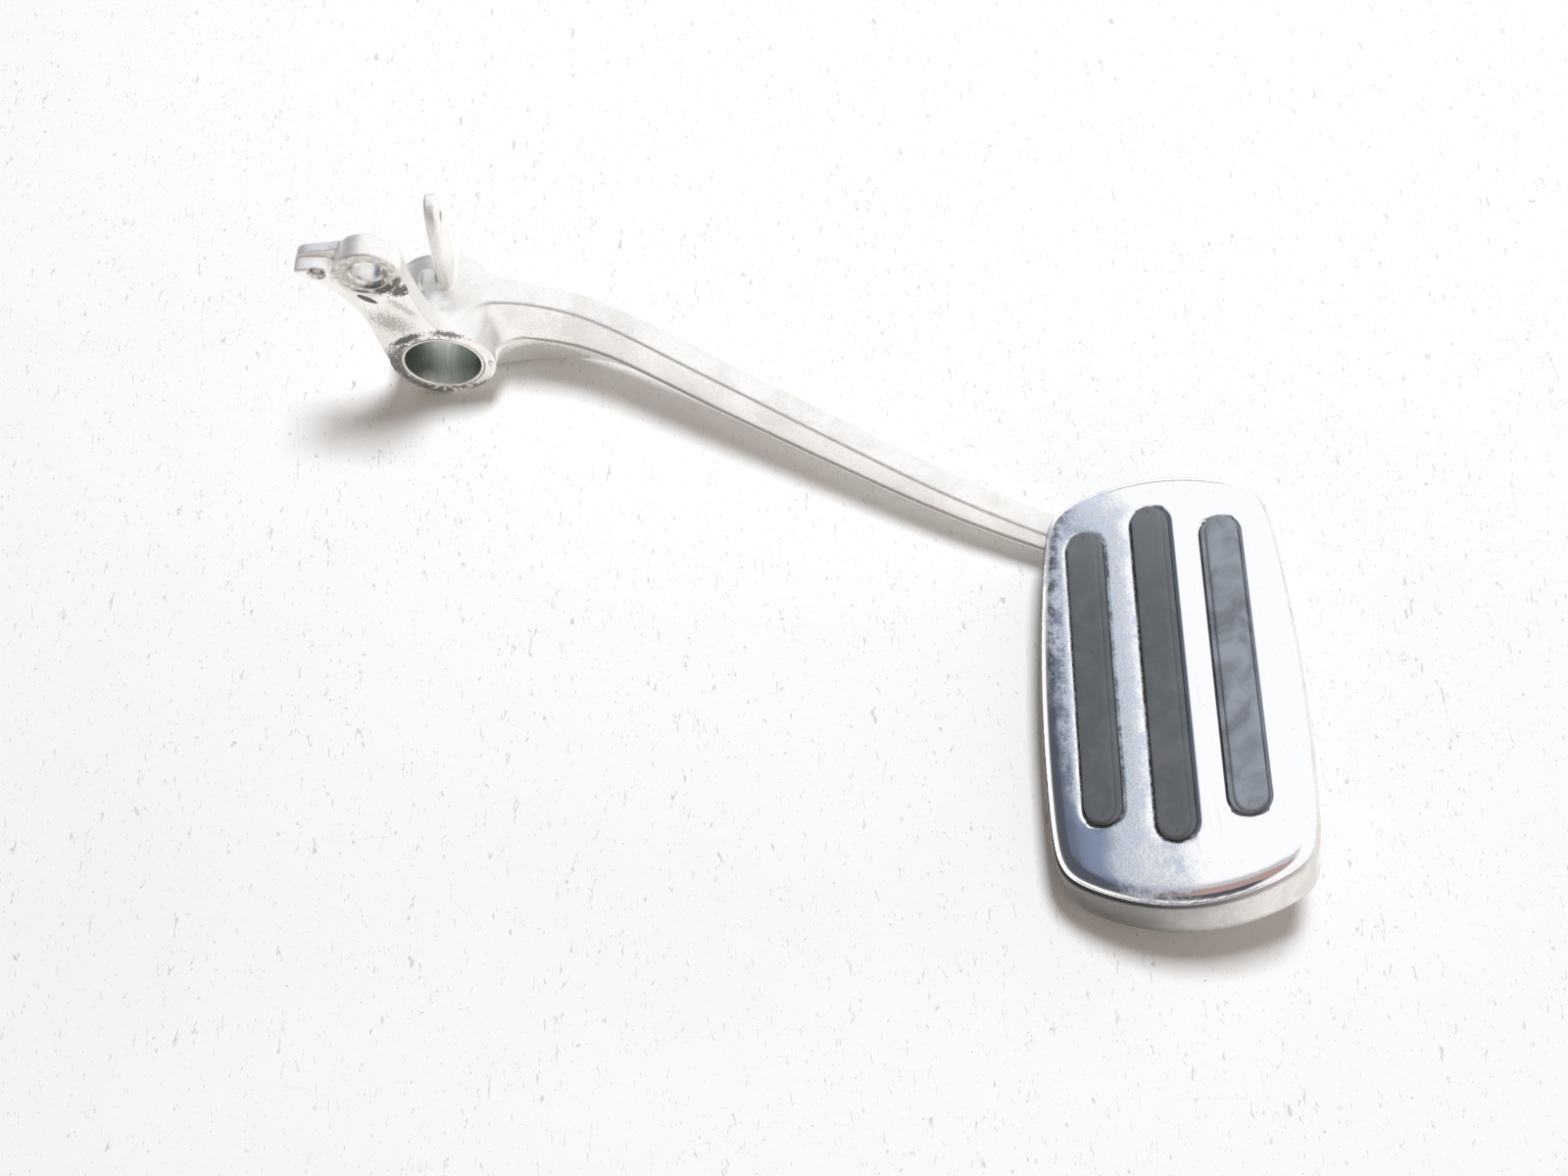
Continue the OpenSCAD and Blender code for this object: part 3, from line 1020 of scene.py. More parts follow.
    def bead_ridge(self, name: str, side: int, root: list[Pair]) -> Obj:
        """The sharp parting ridge along one side of the arm and round the fillet to the barrel.

        The path follows the fillet's edge in plan and then the arm's side. A small rounded
        triangle, pointing outward, is carried along it.

        Args:
            name: the piece's name.
            side: -1 for the outboard side and 1 for the inboard side.
            root: the fillet's edge in plan.

        Returns:
            The closed ridge.
        """
        line = smooth_open(self.path, 400, 60)
        arm = line + side * self.bead_out * left_of(line)
        path = smooth_open(np.vstack([root, arm[arm[:, 0] > 26]]), 520, 8)
        section = np.array(self.ridge)
        grid = np.zeros((len(path), len(section), 3))
        grid[..., :2] = path[:, None] + (side * left_of(path))[:, None] * section[None, :, :1]
        grid[..., 2] = np.interp(path[:, 0], *np.array(self.bead).T)[:, None] + section[None, :, 1]
        ridge = grid_object(name, grid, wrap_cols=True, caps=True)
        ridge.data.set_sharp_from_angle(angle=math.radians(60))
        return ridge

    def root_body(self) -> Obj:
        """The fillets between barrel and arm, as plan outlines stacked over the height z.

        The outline goes over from the broad to the tight one between the axis and 10 mm above it.
        Its points beside the barrel, 13.5 mm out or less and fading to 20, are drawn back as the
        barrel's side falls away: by a share 1 - (1 - |z/r|^p)^(1/p), where p rises from 2 to 4.4
        toward the arm above the axis. Along the bore it grows slimmer toward its top and bottom.

        Returns:
            The closed root.
        """
        start = [(2, 1.3), (13.0, 1.3)]
        end = [(27, 14.4), (22, 16.0), (18.4, 17.4), (16, 19.4), (14.6, 22), (13.4, 24.6), (2, 24.6)]
        broad = [(13.8, 3.0), (14.6, 4.8), (16, 6.4), (18.6, 7.7), (22, 8.5), (27, 8.6)]
        tight = [(13.4, 3.4), (13.7, 5.6), (14.4, 7.6), (16.6, 8.9), (22, 9.3), (27, 9.3)]
        low, high = (smooth_closed(start + front + end, 160, 3) for front in (broad, tight))
        z = np.linspace(-13.4, 13.8, 48)[:, None]
        rise = np.clip(z / 10, 0, 1)[..., None]
        x, y = np.moveaxis(low * (1 - rise) + high * rise, -1, 0)
        power = 2 + 2.4 * np.clip((y - 1.4) / 6.4, 0, 1) * (z > 0)
        back = 1 - (1 - np.abs(z / self.barrel_r) ** power) ** (1 / power)
        slim = 0.022 * np.clip(-1.5 - z, 0, None)
        grid = np.zeros((*x.shape, 3))
        grid[..., 0] = x - back * np.minimum(x, 13.5) * np.clip((20 - x) / 6.5, 0, 1)
        grid[..., 1] = 12.5 + (y - 12.5) * (1 - 0.06 * np.abs(z / 13.2) ** 3) * (1 - slim)
        grid[..., 2] = z
        return grid_object("root_body", grid, wrap_cols=True, caps=True)

    def solids(self) -> list[Obj]:
        """The closed shapes that make up the casting, before they are melted together.

        Returns:
            Barrel, crank, tab, fin, the fin's foot, root and arm.
        """
        r, l, top, fin_end = self.barrel_r, self.barrel_l, self.tab_top, self.fin_x + self.fin_t
        barrel = [
            (0, 0), (r - 0.5, 0), (r - 0.15, 0.15), (r, 0.5), (r, l - 2.2), (r - 0.25, l - 2.0),
            (r - 0.25, l - 1.6), (r, l - 1.4), (r, l - 0.5), (r - 0.15, l - 0.15), (r - 0.5, l), (0, l),
        ]
        tab = [
            (-26.6, 38.2), (-28.1, 39.6), (-28.2, 41.6), (-27.2, top - 1.1), (-25.4, top - 0.5),
            (-21.5, top - 0.2), (-18.6, top + 0.1), (-15, top + 0.6), (-13, 40), (-16, 36), (-22, 36.6),
        ]
        fin = [
            (13.9, 9), (13.9, 16), (14.6, 22), (15.4, 27), (16.8, 31.5), (18.4, 35.4), (19.8, 37.4),
            (21.8, 38.7), (24.2, 38.9), (26.0, 37.8), (26.9, 35.6), (26.9, 32), (26.5, 26), (26.0, 18),
            (26.0, 9),
        ]
        foot = [(13.4, 9), (13.4, 14.4), (14.6, 16.2), (17.2, 16.6), (19.4, 15.8), (20.4, 13.4), (20.4, 9)]
        face_on, edge_on = (0, 2, 1), (1, 2, 0)
        tab, fin, foot = smooth_closed(tab, 160, 3), smooth_closed(fin, 200, 2), smooth_closed(foot, 80, 2)
        return [
            grid_object("barrel_body", turned(barrel, (0, 0, 0), 160), wrap_cols=True),
            rounded_slab("crank_body", self.crank_outline(), 0, self.crank_t, 0.55, face_on),
            rounded_slab("tab_body", tab, self.ledge_depth, self.crank_t + 0.1, 0.4, face_on),
            rounded_slab("fin_body", fin, self.fin_x, fin_end, 0.7, edge_on),
            rounded_slab("foot_body", foot, self.fin_x - 5.4, fin_end, 1.6, edge_on),
            self.root_body(),
            self.arm_body(),
        ]

    def cutters(self) -> list[Obj]:
        """The shapes that cut the holes; all but the fin's have a chamfer at the outboard mouth.

        Returns:
            Pivot bore, clevis hole, tab hole and fin hole.
        """
        b, w, l, end = self.bush_r, self.bush_r + 0.35, self.barrel_l, self.crank_t + 1
        bore = [(0, -1), (w, -1), (w, 0), (b, 0.35), (b, l - 0.35), (w, l), (w, l + 1), (0, l + 1)]
        holes = [turned(bore, (0, 0, 0), 128)]
        for (x, z), r, chamfer, steps in (
            (self.clevis, self.clevis_r + 0.12, 1.3, 96), (self.tab_hole, self.tab_hole_r + 0.08, 0.75, 64)
        ):
            drill = [(0, -1), (r + chamfer, -1), (r + chamfer, 0), (r, chamfer), (r, end), (0, end)]
            holes.append(turned(drill, (x, 0, z), steps))
        r, end = self.fin_hole_r, self.fin_t + 1
        fin = [(0, -1), (r, -1), (r, end), (0, end)]
        holes.append(turned(fin, (self.fin_x, *self.fin_hole), 48, along=0))
        return [grid_object(f"cut_{k}", grid, wrap_cols=True) for k, grid in enumerate(holes)]

    def linings(self) -> list[Obj]:
        """The bright skins of two drilled holes.

        Returns:
            The clevis hole's and the tab hole's.
        """
        found, t = [], self.crank_t
        c, h = self.clevis_r, self.tab_hole_r
        clevis = [
            (c + 1.45, 0.02), (c + 1.3, 0.0), (c + 1.15, 0.05), (c + 0.05, 1.15), (c, 1.3), (c, t - 0.3),
            (c + 0.2, t - 0.05), (c + 0.5, t - 0.02),
        ]
        tab = [(h + 0.05, 0.75), (h, 0.9), (h, t - 0.1), (h + 0.2, t - 0.05)]
        for name, profile, (x, z), steps in (
            ("clevis_lining", clevis, self.clevis, 128), ("tab_hole_lining", tab, self.tab_hole, 64)
        ):
            found.append(grid_object(name, turned(profile, (x, 0, z), steps), wrap_cols=True))
        return found

    def build(self, alloy: CastAlloy, cut_metal: MachinedAlloy) -> None:
        """Builds and dresses the casting's lever part and the bright linings of its holes.

        Args:
            alloy: the casting's finish.
            cut_metal: the finish of the machined holes.
        """
        body = join(self.solids(), "lever_casting")
        m = body.modifiers.new("melt", "REMESH")
        m.mode, m.voxel_size, m.adaptivity = "VOXEL", self.voxel * MM, 0.0
        apply_modifiers(body)
        relax(body, 3)
        relax(body, 14, (5.0, 2.8, 12.5), 6.5)
        cut(body, self.cutters())
        body.data.shade_smooth()
        body.data.set_sharp_from_angle(angle=math.radians(50))
        metal = alloy.build()
        dress(body, metal, alloy.slot, "lever")
        outer = [(12.6, -0.6), (13.7, 0.6), (14.0, 2.6), (14.8, 4.7), (16.3, 6.4), (18.8, 7.75), (22.2, 8.4)]
        inner = [(12.6, 26.2), (13.6, 25.0), (14.3, 22.4), (15.8, 19.7), (18.4, 17.7), (22.2, 16.3)]
        dress(self.bead_ridge("outboard_bead", -1, outer), metal, alloy.slot, "lever")
        dress(self.bead_ridge("inboard_bead", 1, inner), metal, alloy.slot, "lever")
        bright = cut_metal.build()
        for lining in self.linings():
            dress(lining, bright, cut_metal.slot, "lever")


@dataclass
class PivotBush:
    """The pressed ring in the barrel."""

    inner: float = 10.0
    outer: float = 10.8
    length: float = 26.0

    def build(self, finish: BushMetal) -> None:
        """A closed ring with small chamfers at both mouths.

        Args:
            finish: its finish.
        """
        a, b, l = self.inner, self.outer, self.length
        profile = [
            (a, 0.3), (a + 0.12, 0.08), (a + 0.3, 0), (b - 0.15, 0), (b, 0.15), (b, l - 0.15), (b - 0.15, l),
            (a + 0.3, l), (a + 0.12, l - 0.08), (a, l - 0.3),
        ]
        ring = grid_object("pivot_bush_ring", turned(profile, (0, 0, 0), 128), True, True)
        ring.data.set_sharp_from_angle(angle=math.radians(40))
        dress(ring, finish.build(), finish.slot, "pivot_bush")


@dataclass
class PadBase:
    """The cast base under the cover: a deep rim with a rounded shoulder and a plain hollow beneath."""

    pad: PadFrame = field(default_factory=PadFrame)
    top: float = -4.4
    depth: float = 14.0
    deck: float = 4.0
    lean: float = 2.5
    boss_r: float = 6.5
    boss_end: float = 6.5

    def build(self, alloy: CastAlloy) -> None:
        """Builds the base as outlines carried down the wall, under the rim and up into the hollow.

        Each ring is the pad's outline at an inset and a height. The rings run from the middle of
        the deck out over the shoulder, down the wall, round the bottom edge, up the hollow's wall
        and in to the middle of its ceiling. They lean toward the near end as they go down, the
        ones inside the hollow by less.

        Args:
            alloy: the casting's finish.
        """
        t, bottom, roof = self.top, self.top - self.depth, self.top - self.deck
        outside = [
            (28, t), (6, t), (1.6, t), (0.8, t - 0.05), (0.4, t - 0.22), (0.13, t - 0.5), (0.02, t - 0.9),
            (0.0, t - 1.4), (0.03, t - 4.0), (0.13, t - 7.0), (0.28, t - 10.0), (0.42, bottom + 1.8),
            (0.62, bottom + 1.1), (0.95, bottom + 0.6), (1.5, bottom + 0.2), (2.2, bottom), (4.6, bottom),
            (5.6, bottom + 0.1), (6.1, bottom + 0.5), (6.3, bottom + 1.2),
        ]
        inside = [(6.5, roof - 1.5), (6.9, roof - 0.6), (7.8, roof - 0.1), (9, roof), (28, roof)]
        grid = self.pad.rings(outside + inside)
        down = np.clip((t - 1.2 - grid[..., 2]) / (self.depth - 3.0), 0, 1)
        grid[..., 1] -= self.lean * down * np.repeat([1, 0.6], [len(outside), len(inside)])[:, None]
        base = grid_object("pad_base", self.pad.to_part(grid), wrap_cols=True, caps=True)
        low, r = bottom + self.boss_end, self.boss_r
        boss = [
            (3.3, roof + 1), (3.3, low + 0.2), (3.5, low), (r - 0.6, low), (r - 0.1, low + 0.3),
            (r, low + 0.8), (r + 0.1, roof - 0.8), (r + 0.9, roof - 0.05), (r + 0.9, roof + 1),
        ]
        material = alloy.build()
        for obj in (base, *self.pad.posts("boss", boss, 72, True)):
            dress(obj, material, alloy.slot, "lever")


@dataclass
class PadCover:
    """The bright cover: a crowned sheet with a rolled edge and three slots turned down round the rubber."""

    pad: PadFrame = field(default_factory=PadFrame)
    edge_inset: float = 0.9
    rise: float = 4.4
    sheet: float = 1.0
    crown: float = 1.45
    end_crown: float = 1.7
    fade: float = 8.5
    end_fade: float = 6.2
    roll: float = 3.4
    drop: float = 2.0
    strip_w: float = 8.7
    pitch: float = 16.0
    offset: float = -0.7
    lengths: Vec = (74.4, 84.0, 74.4)
    gap: float = 0.12
    turn_in: float = 1.1
    turn_depth: float = 0.5
    lip: float = 0.9
    dish: float = 2.8
    dish_rate: float = 0.032
    full: float = 28.0
    margin: float = 3.6
    still: float = 21.6
    stud_end: float = -17.7
    stud_top: float = -1.6

    @property
    def half(self) -> float:
        """Half the width of a slot."""
        return self.strip_w / 2 + self.gap

    def crowned(self, a: Array, b: Array) -> Array:
        """Broad crown: it falls exponentially toward the sides and, by less, toward the ends.

        Args:
            a: places across.
            b: places along.

        Returns:
            Heights, zero in the middle and negative outward.
        """
        side = self.pad.width / 2 - np.abs(a)
        end = self.pad.length / 2 - np.abs(b - self.pad.shift)
        return -self.crown * np.exp(-side / self.fade) - self.end_crown * np.exp(-end / self.end_fade)

    def rolled(self, edge: Array) -> Array:
        """Fall of the rolled edge, a quarter of an ellipse, by the distance in from the cover's edge."""
        t = np.clip((self.roll - edge) / self.roll, 0, 1)
        return self.drop * (1 - np.sqrt(np.maximum(1 - t ** 2.3, 0)))

    def slots(self, a: Array, b: Array) -> list[tuple[float, Array]]:
        """The slots as seen from points of the face.

        Args:
            a: places across.
            b: places along.

        Returns:
            For each slot its middle across, and the points' distances from its spine.
        """
        found = []
        for k, length in zip((-1, 0, 1), self.lengths):
            c, reach = self.offset + k * self.pitch, length / 2 - self.strip_w / 2
            found.append((c, np.hypot(a - c, b - np.clip(b, -reach, reach))))
        return found

    def sunk(self, a: Array, b: Array) -> Array:
        """Fall of the sheet at the slots.

        It dishes gently toward each slot's arm side, with the square of the nearness, turns down
        by a quarter of an ellipse at the slots' edges, and drops off inside them.

        Args:
            a: places across.
            b: places along.

        Returns:
            How far the sheet falls.
        """
        slots, dips = self.slots(a, b), []
        for c, away in slots:
            near = np.clip(self.dish - np.clip(away - self.half, 0, None), 0, None)
            dips.append(self.dish_rate * near ** 2 * np.clip((c - a) / self.half, 0, 1))
        s = np.minimum.reduce([away for _, away in slots]) - self.half
        t = np.clip((self.turn_in - s) / self.turn_in, 0, 1)
        turned_in = self.turn_depth * (1 - np.sqrt(np.maximum(1 - t ** 2.2, 0)))
        return np.maximum.reduce(dips) + turned_in + self.lip * np.clip(-s / 0.2, 0, 1)

    def rows(self, rim: Array) -> tuple[Array, Array]:
        """Places of the face's rows, at even steps of the outline and close at the slots' ends.

        Args:
            rim: the cover's outline.

        Returns:
            The places along the pad, and the half width at each.
        """
        right = rim[rim[:, 0] > 0]
        right = right[np.argsort(right[:, 1])]
        path = resample(np.vstack([[0, rim[:, 1].min()], right, [0, rim[:, 1].max()]]), 700)
        ends = [s * np.linspace(r / 2 - 6.5, r / 2 + 1.5, 26) for s in (-1, 1) for r in self.lengths[:2]]
        rows = np.unique(np.concatenate([path[::7, 1], np.linspace(-33, 33, 60), *ends]).round(3))
        rows = rows[np.append(True, np.diff(rows) > 0.04)]
        order = np.argsort(path[:, 1])
        return rows, np.interp(rows, path[order, 1], path[order, 0])

    def columns(self) -> Array:
        """Places of the face's columns, close together at the rolled edges and beside the slots.

        Returns:
            The places across, for a half width of `full`.
        """
        near = np.array([0.0, 0.04, 0.1, 0.18, 0.28, 0.4, 0.55, 0.72, 0.9, 1.1, 1.3, 1.5, 1.8])
        edge = self.full - self.roll * (1 - np.sin(np.linspace(np.pi / 2, 0, 13)))
        marks = [-edge, edge, np.linspace(-24.5, 24.5, 30)]
        for k in (-1, 0, 1):
            for s in (-1, 1):
                c = self.offset + k * self.pitch
                marks += [c + s * (self.half + near), c + s * (self.half - near[1:6]), [c + s * 1.2]]
        cols = np.unique(np.concatenate(marks).round(4))
        return cols[np.append(True, np.diff(cols) > 0.05)]

    def across(self, cols: Array, width: Array) -> Array:
        """Places across for each row and column.

        Where the pad is wide, columns up to `still` stay in place beside the slots, those in the
        outer `margin` keep their distance from the edge, and the ones between are spread evenly.
        Where it narrows below a half width of 27.1, and fully at 25.6, all shrink with it.

        Args:
            cols: the columns' places at full width.
            width: the rows' half widths.

        Returns:
            (rows, cols) places.
        """
        w, c, sign = width[:, None], np.abs(cols), np.sign(cols)
        rim = self.full - self.margin
        free = cols * (w / self.full)
        kept = sign * (w - (self.full - c))
        stretch = (w - self.margin - self.still) / (rim - self.still)
        spread = sign * (self.still + (c - self.still) * stretch)
        hold = np.where(c > rim, kept, np.where(c > self.still, spread, cols))
        return free + (hold - free) * np.clip((w - 25.6) / 1.5, 0, 1)

    def face(self) -> Array:
        """The face as a grid of rows across the pad: crown, less the rolled edge and the slots' falls.

        Returns:
            (rows, cols, 3) points in the pad's axes.
        """
        rim = self.pad.outline(self.edge_inset, 2400)
        rows, width = self.rows(rim)
        a = self.across(self.columns(), width)
        b = np.repeat(rows[:, None], a.shape[1], 1)
        flat = np.stack([a.ravel(), b.ravel()], 1)
        edge = [((part[:, None] - rim[None, ::2]) ** 2).sum(-1).min(1) for part in np.array_split(flat, 24)]
        edge = np.sqrt(np.concatenate(edge)).reshape(a.shape)
        return np.stack([a, b, self.crowned(a, b) - self.rolled(edge) - self.sunk(a, b)], -1)

    def build(self, finish: BrightPlate) -> None:
        """Builds and dresses the cover's sheet, its turned-down skirt and its studs.

        Args:
            finish: the plating.
        """
        sheet = grid_object("cover_face", self.pad.to_part(self.face()))
        low, thick = -self.rise + 0.02, self.sheet
        table = [(0.0, low), (0.0, -self.rise + 0.1), (0.15, low), (thick, low), (thick, low)]
        rings = self.pad.rings([(self.edge_inset + inset, height) for inset, height in table], 480)
        for k in (0, -1):
            rings[k, :, 2] = np.maximum(self.crowned(rings[k, :, 0], rings[k, :, 1]) - self.drop, low)
        skirt = grid_object("cover_skirt", self.pad.to_part(rings), True, True)
        end, top = self.stud_end, self.stud_top
        stud = [(0, end), (2.4, end), (3.0, end + 0.6), (3.0, top), (0, top)]
        material = finish.build()
        for obj in (sheet, skirt, *self.pad.posts("stud", stud, 48, False)):
            dress(obj, material, finish.slot, "pad_cover")


@dataclass
class TreadStrips:
    """The rubber's three raised strips, and its mat under the cover."""

    cover: PadCover = field(default_factory=PadCover)
    proud: float = 1.8
    step: float = 1.35
    edge: float = 0.45

    def strip(self, k: int) -> Array:
        """One strip: a round-ended outline whose top edge is rounded, with a stepped side.

        Each ring of the section is the outline at an inset and a height. On the side that faces
        the middle of the pad's free half, the rings also step in by a share of the step, so that
        a narrow ledge runs along that side. The section's rows hold inset, height and share.

        Args:
            k: the strip's place, -1, 0 or 1.

        Returns:
            (rings, points, 3) grid in the pad's axes, closed at the top's middle line.
        """
        c = self.cover
        r = c.strip_w / 2
        reach = c.lengths[k + 1] / 2 - r
        a = np.radians(np.linspace(0, 180, 33))
        arc = np.stack([np.cos(a), np.sin(a)], 1)
        side = np.linspace(1, -1, 60)[1:-1]
        flank = np.tile([-1.0, 0.0], (len(side), 1))
        unit = np.vstack([arc, flank, -arc, -flank])
        spine = np.concatenate([np.full(len(a), reach), side * reach, np.full(len(a), -reach), -side * reach])
        e, t = self.edge, np.radians(np.linspace(0, 90, 6))
        foot = [
            (0, -3.2, 0), (0, -1.0, 0), (0.02, 0.1, 0), (0.06, 0.34, 0.06), (0.1, 0.42, 0.2),
            (0.12, 0.44, 0.62), (0.14, 0.6, 0.72),
        ]
        rise = self.proud - e + e * np.sin(t)
        brow = np.stack([0.16 + e * (1 - np.cos(t)), rise, np.linspace(0.88, 1.0, len(t))], 1)
        crest = self.proud + 0.03
        face = [(1.1, crest, 1.0), (1.8, crest, 0.8), (2.6, crest, 0.5), (r, crest, 0)]
        lean = 1 if k < 1 else -1
        section = np.vstack([foot, brow, face])
        grid = np.zeros((len(section), len(unit), 3))
        for ring, (inset, up, share) in zip(grid, section):
            x = c.offset + k * c.pitch + unit[:, 0] * (r - inset)
            x = x - lean * self.step * share * np.clip(lean * unit[:, 0], 0, 1) ** 0.6
            y = spine + unit[:, 1] * (r - inset)
            ring[:] = np.stack([x, y, up + c.crowned(x, y)], 1)
        return grid

    def build(self, finish: TreadRubber) -> None:
        """Builds and dresses the strips and the mat.

        Args:
            finish: the rubber.
        """
        pad = self.cover.pad
        pieces = [
            grid_object(name, pad.to_part(self.strip(k)), False, True)
            for name, k in (("strip_arm_side", -1), ("strip_middle", 0), ("strip_free_side", 1))
        ]
        table = [(27, -4.38), (2.2, -4.38), (2.1, -4.0), (2.4, -3.3), (3.4, -2.75), (6, -2.45), (27, -2.0)]
        pieces.append(grid_object("rubber_mat", pad.to_part(pad.rings(table)), wrap_cols=True, caps=True))
        material = finish.build()
        for obj in pieces:
            dress(obj, material, finish.slot, "pad_rubber")


@dataclass
class Studio:
    """Floor, light and camera."""

    floor_z: float = -14.05
    floor_half: float = 3000.0
    focal_px: float = 1650.0
    width_px: float = 1600.0
    sensor: float = 36.0
    eye: Vec = (86.772, -249.145, 357.774)
    pitch: float = 63.387
    yaw: float = 0.674
    roll: float = -1.111
    lamp_at: Vec = (215, 330, 1300)
    lamp_aim: Vec = (90, -40, 0)
    lamp_size: float = 340.0
    lamp_power: float = 16.2
    lamp_tone: Vec = (0.92, 0.965, 1.0)
    room_tone: Vec = (0.208, 0.172, 0.150)
    fill_tone: Vec = (0.985, 0.895, 0.805)
    white: Vec = (1.0, 1.0, 1.0)
    dim: Vec = (0.56, 0.56, 0.60)
    blue: Vec = (0.22, 0.275, 0.385)
    dark: Vec = (0.085, 0.095, 0.12)
    warm: Vec = (0.46, 0.31, 0.28)
    ground: Vec = (0.30, 0.275, 0.25)
    backdrop: Vec = (0.96, 0.96, 0.955)

    def camera(self) -> None:
        """Sets the camera as the photograph's: looking down at the pitch, with its turn and roll."""
        e, y, r = (math.radians(v) for v in (self.pitch, self.yaw, self.roll))
        ahead = np.array([math.sin(y) * math.cos(e), math.cos(y) * math.cos(e), -math.sin(e)])
        right = np.array([math.cos(y), -math.sin(y), 0.0])
        up = np.cross(right, ahead)
        right, up = math.cos(r) * right + math.sin(r) * up, -math.sin(r) * right + math.cos(r) * up
        data = bpy.data.cameras.new("camera")
        data.sensor_width = self.sensor
        data.lens = self.focal_px / self.width_px * self.sensor
        data.clip_start, data.clip_end = 0.01, 20
        obj = bpy.data.objects.new("camera", data)
        matrix = np.eye(4)
        matrix[:3] = np.stack([right, up, -ahead, np.array(self.eye) * MM], 1)
        obj.matrix_world = Matrix(matrix.tolist())
        bpy.context.scene.collection.objects.link(obj)
        bpy.context.scene.camera = obj

    def floor(self) -> None:
        """A wide pale floor with faint scuffs."""
        s, z = self.floor_half, self.floor_z
        square = np.array([(-s, -s, z), (s, -s, z), (s, s, z), (-s, s, z)])
        floor = mesh_object("floor", square, [[0, 1, 2, 3]], weld=False)
        n = Nodes("pale_floor")
        stain = n.band(n.noise(60, 4, 0.6), 0.35, 0.75)
        specks = n.band(n.noise(1.0, 3, 0.6), 0.67, 0.71)
        threads = (n.noise(1.1, 2, 0.5, 1.2, n.moved((1, 0.28, 1), (0, 0, turn))) for turn in (50, -30, 85))
        hairs = [n.band(thread, 0.695, 0.73) for thread in threads]
        marks = n.band(n.noise(3.0, 4, 0.6, 0.8), 0.755, 0.775)
        creases = n.band(n.noise(3.5, 3, 0.5, 2.0, n.moved((0.12, 1, 1), (0, 0, 25))), 0.70, 0.76)
        colour = n.layers(
            (0.955, 0.955, 0.955), (stain, 1, (0.94, 0.938, 0.93)),
            (n.most(specks, *hairs), 0.55, (0.46, 0.43, 0.38)),
            (marks, 0.75, (0.28, 0.21, 0.13)), (creases, 0.12, (0.6, 0.57, 0.52)),
        )
        ray = n.node("LightPath").outputs
        near = n.band(n.axis(1), -0.13, -0.21, 0.012, 0.055)
        glow = n.add(n.mul(ray["Is Camera Ray"], near), n.mul(ray["Is Glossy Ray"], 0.17))
        relief = n.bump(n.noise(2.0, 3, 0.5), 0.05, 0.3)
        n.bsdf(
            Base_Color=colour, Roughness=0.6, Normal=relief, Emission_Color=(1.0, 0.94, 0.87),
            Emission_Strength=glow,
        )
        floor.data.materials.append(n.material)

    def lamp(self) -> None:
        """One square soft lamp, high behind on the right, that faces the pedal."""
        data = bpy.data.lights.new("window", "AREA")
        data.shape, data.size = "SQUARE", self.lamp_size * MM
        data.energy, data.color = self.lamp_power, self.lamp_tone
        obj = bpy.data.objects.new("window", data)
        at = np.array(self.lamp_at) * MM
        z = at - np.array(self.lamp_aim) * MM
        z /= np.linalg.norm(z)
        x = np.cross([0, 1, 0], z)
        x /= np.linalg.norm(x)
        turn = Matrix(np.stack([x, np.cross(z, x), z], 1).tolist())
        obj.matrix_world = Matrix.Translation(at.tolist()) @ turn.to_4x4()
        obj.visible_glossy = False
        bpy.context.scene.collection.objects.link(obj)

    def room(self) -> None:
        """The room, as a world of soft zones by direction.

        Matt surfaces see an even, slightly warm room with a low fill from the front. What polished
        metal mirrors is white, with a dim zone in front, a dim blue one on the left, a dark one
        beyond each, a warm one low in front of the middle and a dim ground. A zone covers the
        directions in which one or two coordinates lie beyond soft limits. The backdrop is plain.
        """
        world = bpy.data.worlds.new("room")
        bpy.context.scene.world = world
        n = Nodes("room", world)
        x, y, z = (n.axis(k) for k in range(3))
        ahead = n.band(x, 0.32, 0.10)
        left = n.band(n.add(x, n.band(y, 0.33, 0.22, 0.0, 0.07)), -0.31, -0.40)
        front = n.mul(n.band(y, 0.06, -0.12), ahead)
        low = n.mul(n.band(y, -0.20, -0.42), n.band(z, 0.93, 0.84), ahead)
        deep = n.most(n.band(x, -0.46, -0.60), low)
        middle = n.mul(n.band(x, -0.42, -0.32), n.band(x, 0.30, 0.15))
        warm = n.mul(n.band(y, -0.24, -0.38), n.band(y, -0.80, -0.72), n.band(z, 0.2, 0.3), middle)
        ground = n.mul(n.band(z, 0.30, 0.05), ahead)
        mirrored = n.layers(
            self.white, (front, 1, self.dim), (left, 1, self.blue), (deep, 1, self.dark),
            (warm, 1, self.warm), (ground, 0.85, self.ground),
        )
        fill = n.mul(n.band(y, -0.12, -0.45), n.band(z, 0.66, 0.36))
        matt = n.mix(fill, self.room_tone, self.fill_tone)
        ray = n.node("LightPath").outputs
        colour = n.mix(ray["Is Camera Ray"], n.mix(ray["Is Glossy Ray"], matt, mirrored), self.backdrop)
        n.link(n.node("Background", {0: colour}).outputs[0], n.out.inputs[0])

    def build(self) -> None:
        """Sets floor, lamp, room, camera and the plain view transform."""
        self.floor()
        self.lamp()
        self.room()
        self.camera()
        bpy.context.scene.view_settings.view_transform = "Standard"


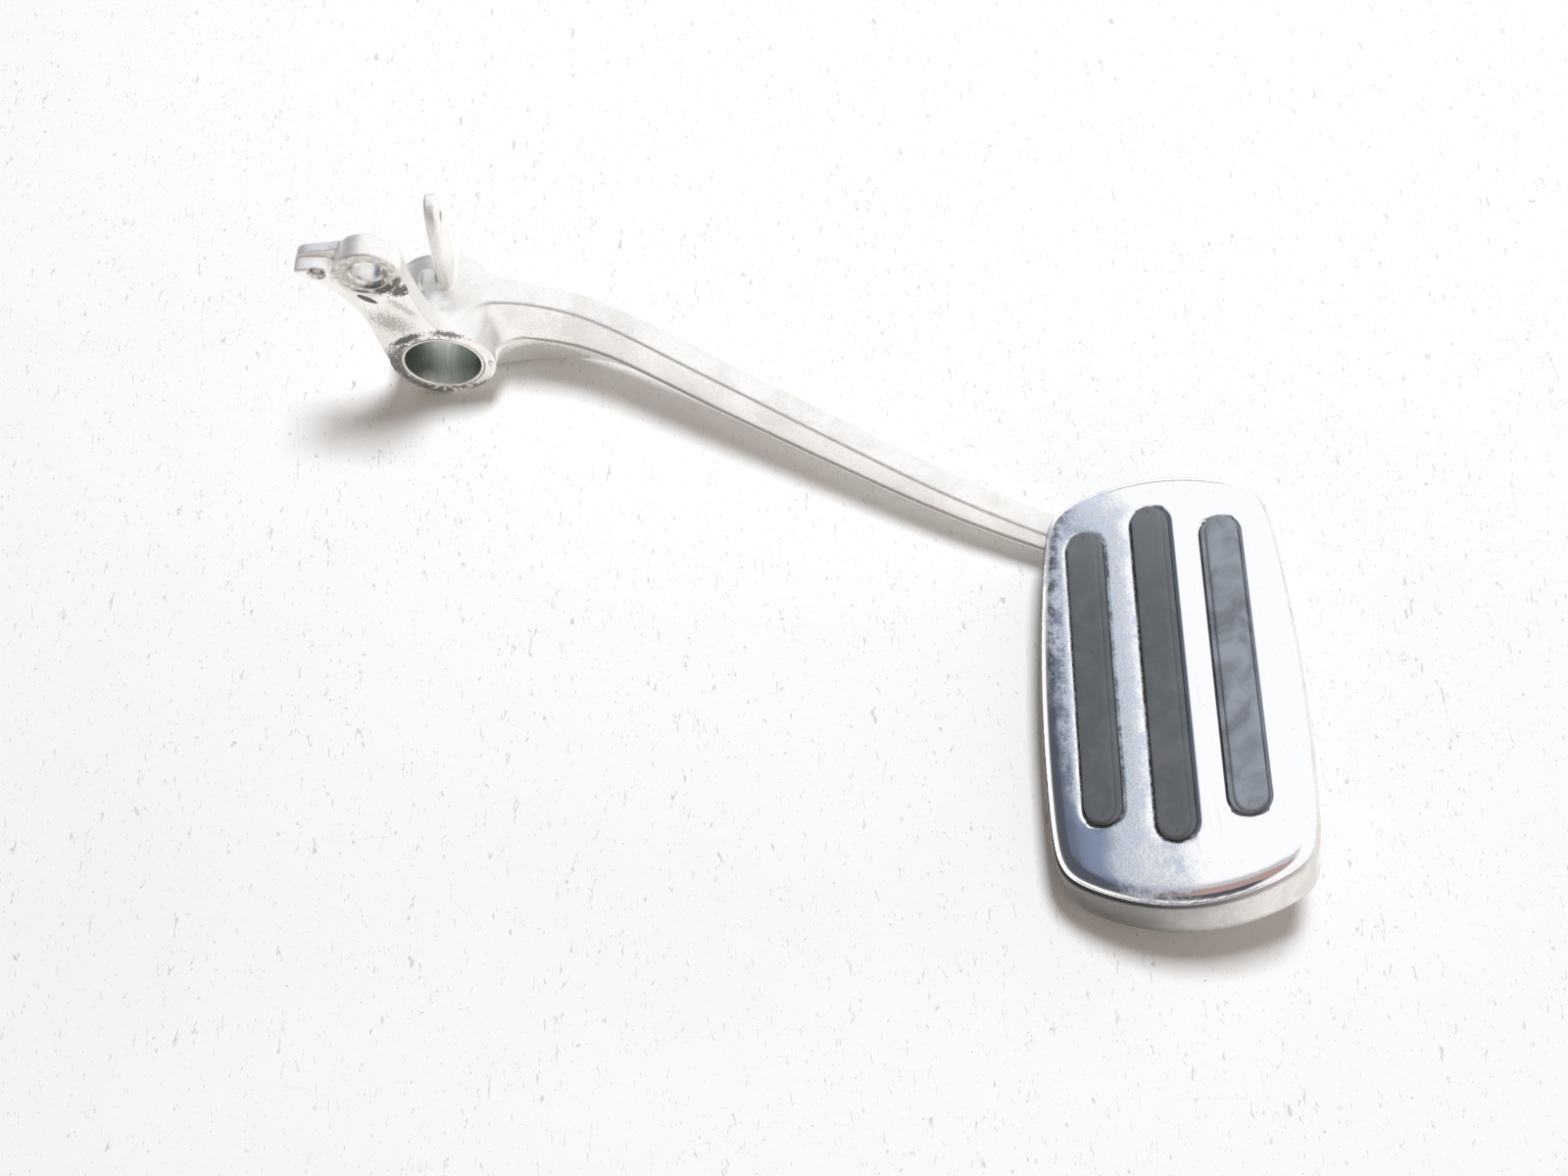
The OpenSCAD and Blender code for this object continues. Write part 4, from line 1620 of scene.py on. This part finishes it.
def main() -> None:
    """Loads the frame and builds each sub-assembly in order."""
    logging.basicConfig(level=logging.INFO, format="%(name)s %(message)s", stream=sys.stdout)
    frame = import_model()
    LOG.info("frame loaded: %s", sorted(frame["nodes"]))
    pad = PadFrame()
    cover = PadCover(pad)
    # The pad base's alloy carries painted shade that darkens it toward the arm side.
    clean = CastAlloy(
        tone=(0.88, 0.87, 0.855), dull=(0.64, 0.625, 0.60), roughness=0.3, painted_shade=0.95, greasy_and_shaded=False
    )
    Lever().build(CastAlloy(), MachinedAlloy())
    PivotBush().build(BushMetal())
    PadBase(pad).build(clean)
    cover.build(BrightPlate())
    TreadStrips(cover).build(TreadRubber())
    steel = PlatedSteel().build()
    for name in ("far_nut", "near_nut"):
        mesh = frame["nodes"][name].data
        mesh.materials.clear()
        mesh.materials.append(steel)
        LOG.info("%s: %d faces", name, len(mesh.polygons))
    Studio().build()


if __name__ == "__main__":
    main()
